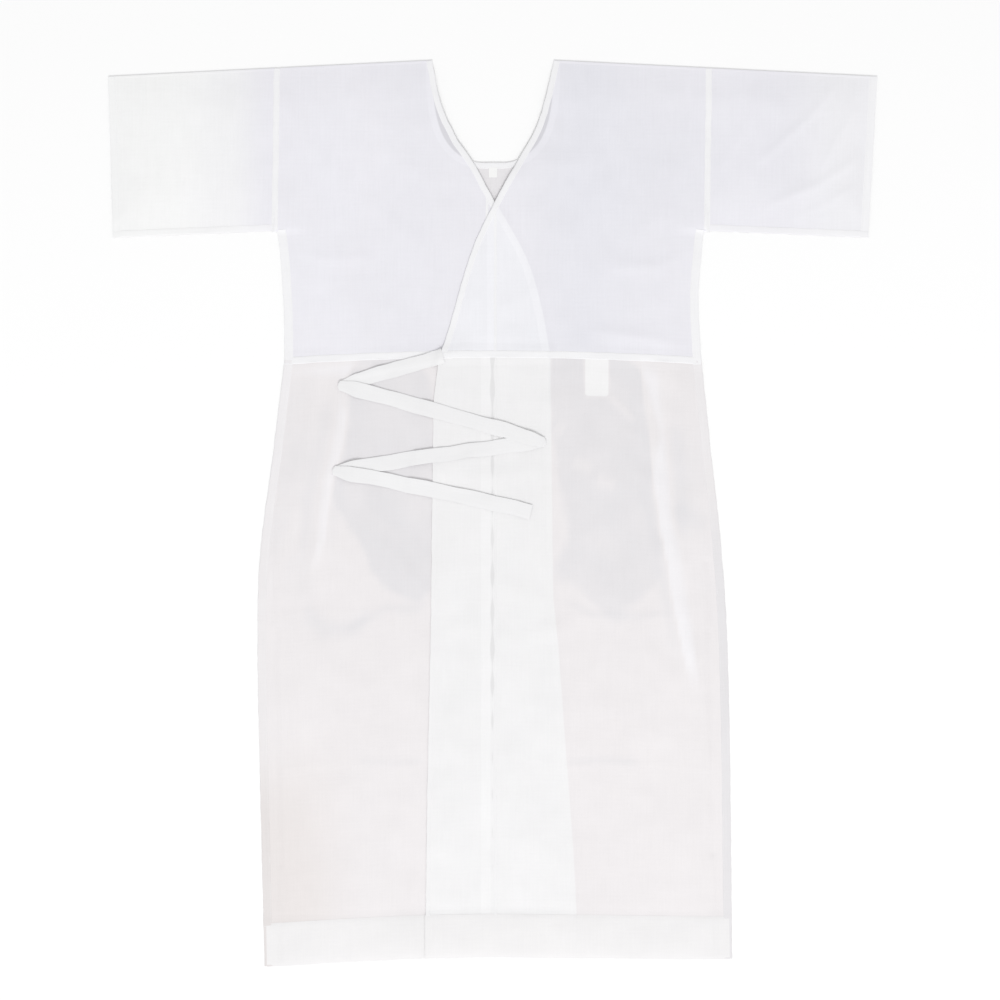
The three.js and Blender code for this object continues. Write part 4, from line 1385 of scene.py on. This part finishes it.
def make_tie():
    points = tie_points()
    along = np.gradient(points, axis=0)
    side = np.gradient(points, axis=1)
    normal = np.cross(side, along)
    normal /= np.maximum(np.linalg.norm(normal, axis=2), 1e-9)[..., None]
    u = np.linspace(-1, 1, points.shape[1])
    half = TIE_THICKNESS / 2 * (0.35 + 0.65 * np.sqrt(1 - np.abs(u) ** 4))
    upper = points + normal * half[None, :, None]
    lower = points - normal * half[None, :, None]
    rows, columns = points.shape[:2]
    run = along_line(points[:, 4])
    uv = np.stack([np.broadcast_to(u * TIE_WIDTH / 2, (rows, columns)),
                   np.broadcast_to(run[:, None], (rows, columns))], axis=-1).reshape(-1, 2)
    both = np.concatenate([upper.reshape(-1, 3), lower.reshape(-1, 3)])
    both[:, 0], both[:, 1] = laid(both[:, 0], both[:, 1])
    tie = put("waist_tie_tape", both, shell_faces(rows, columns), np.concatenate([uv, uv]), "tie_tape",
              "tie", ["waist_tie"])
    patch = np.array([TIE_ROOT - [0.008, 0], TIE_ROOT + [0.009, 0]])
    strip("tie_root_tack", patch, 0.009, over_low, TRIM * 1.3, "sewn_tape", "front_flap",
          ["tie_root_patch"], wobble=0.0001, seed=141)
    # It is sewn on with a box and a cross.
    box = TIE_ROOT + np.array([(-0.0065, -0.003), (0.0075, -0.003), (0.0075, 0.003), (-0.0065, 0.003)])
    for a, b in ((0, 1), (1, 2), (2, 3), (3, 0), (0, 2), (1, 3)):
        sew("front_flap", box[[a, b]], on(over_low, 1.3))


# ---------------------------------------------------------------- labels

def make_labels():
    for name, grown, rise in (("size_label", 0.001, 0.0001), ("care_label", 0, 0.0002)):
        (x0, y0, _), (x1, y1, _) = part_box(name)
        ys = heights(y0 - grown, y1 + grown, 0.002)
        plan = ruled(upright(x0, ys), upright(x1, ys), np.linspace(0, 1, 9))
        bottom = back_low(plan[..., 0], plan[..., 1]) + CLOTH + rise
        label = shell(f"{name}_woven", plan, bottom, bottom + LABEL, "label_satin", "gown_body", [name])


# ---------------------------------------------------------------- room

CAMERA_PLACE = (0.0091, 0.0156, 3.615)
LENS = 100  # millimetres, on a sensor 36 wide


def make_camera():
    data = bpy.data.cameras.new("Camera")
    data.lens = LENS
    data.sensor_width = 36
    camera = placed("Camera", data)
    camera.location = CAMERA_PLACE
    bpy.context.scene.camera = camera


def make_floor():
    floor = placed("floor", square("floor", 6))
    material = bpy.data.materials.new("floor_paper")
    material.use_nodes = True
    shader = material.node_tree.nodes["Principled BSDF"]
    shader.inputs["Base Color"].default_value = (0.955, 0.955, 0.955, 1)
    shader.inputs["Roughness"].default_value = 0.9
    shader.inputs["Specular IOR Level"].default_value = 0.1
    floor.data.materials.append(material)


KEY_PLACE = (0.25, -5.6, 5.2)
KEY_SIZE = 3.0
KEY_WATTS = 258
SKY = 0.775


def make_lights():
    world = bpy.data.worlds.new("World")
    bpy.context.scene.world = world
    world.use_nodes = True
    background = world.node_tree.nodes["Background"]
    background.inputs[0].default_value = (1.0, 1.0, 1.0, 1)
    background.inputs[1].default_value = SKY
    data = bpy.data.lights.new("Key", "AREA")
    data.shape = "DISK"
    data.size = KEY_SIZE
    data.energy = KEY_WATTS
    key = placed("Key", data)
    key.location = KEY_PLACE
    aside = math.atan2(KEY_PLACE[0], -KEY_PLACE[1])
    key.rotation_euler = (math.atan2(math.hypot(*KEY_PLACE[:2]), KEY_PLACE[2]), 0, aside)
    view = bpy.context.scene.view_settings
    view.view_transform = "Standard"
    view.look = "None"


# ---------------------------------------------------------------- the gown

def bends():
    """Where cloth bends between the gown and a part that turns on it: (body, start, end)."""
    fold = joint("front_open")
    place = np.array(fold["pos_m"])
    axis = np.array(fold["axis"])
    aside = np.array([-axis[1], axis[0], 0]) * (1 if axis[1] > 0 else -1)
    result = {"over_front": ("front_flap", tuple(place), tuple(place + FLAP_BEND * aside))}
    for sign, name in ((1, "left"), (-1, "right")):
        place = np.array(joint(f"sleeve_{name}_fold")["pos_m"])
        ends = [tuple(place + [sign * reach, 0, 0]) for reach in SLEEVE_BEND]
        result[f"sleeve_{name}_bend"] = (f"sleeve_{name}", *ends)
    return result


make_camera()
make_floor()
make_lights()
BENDS = bends()
make_materials()
make_back()
make_fronts()
make_side_edges()
make_sleeves()
make_tie()
make_labels()
make_stitches()
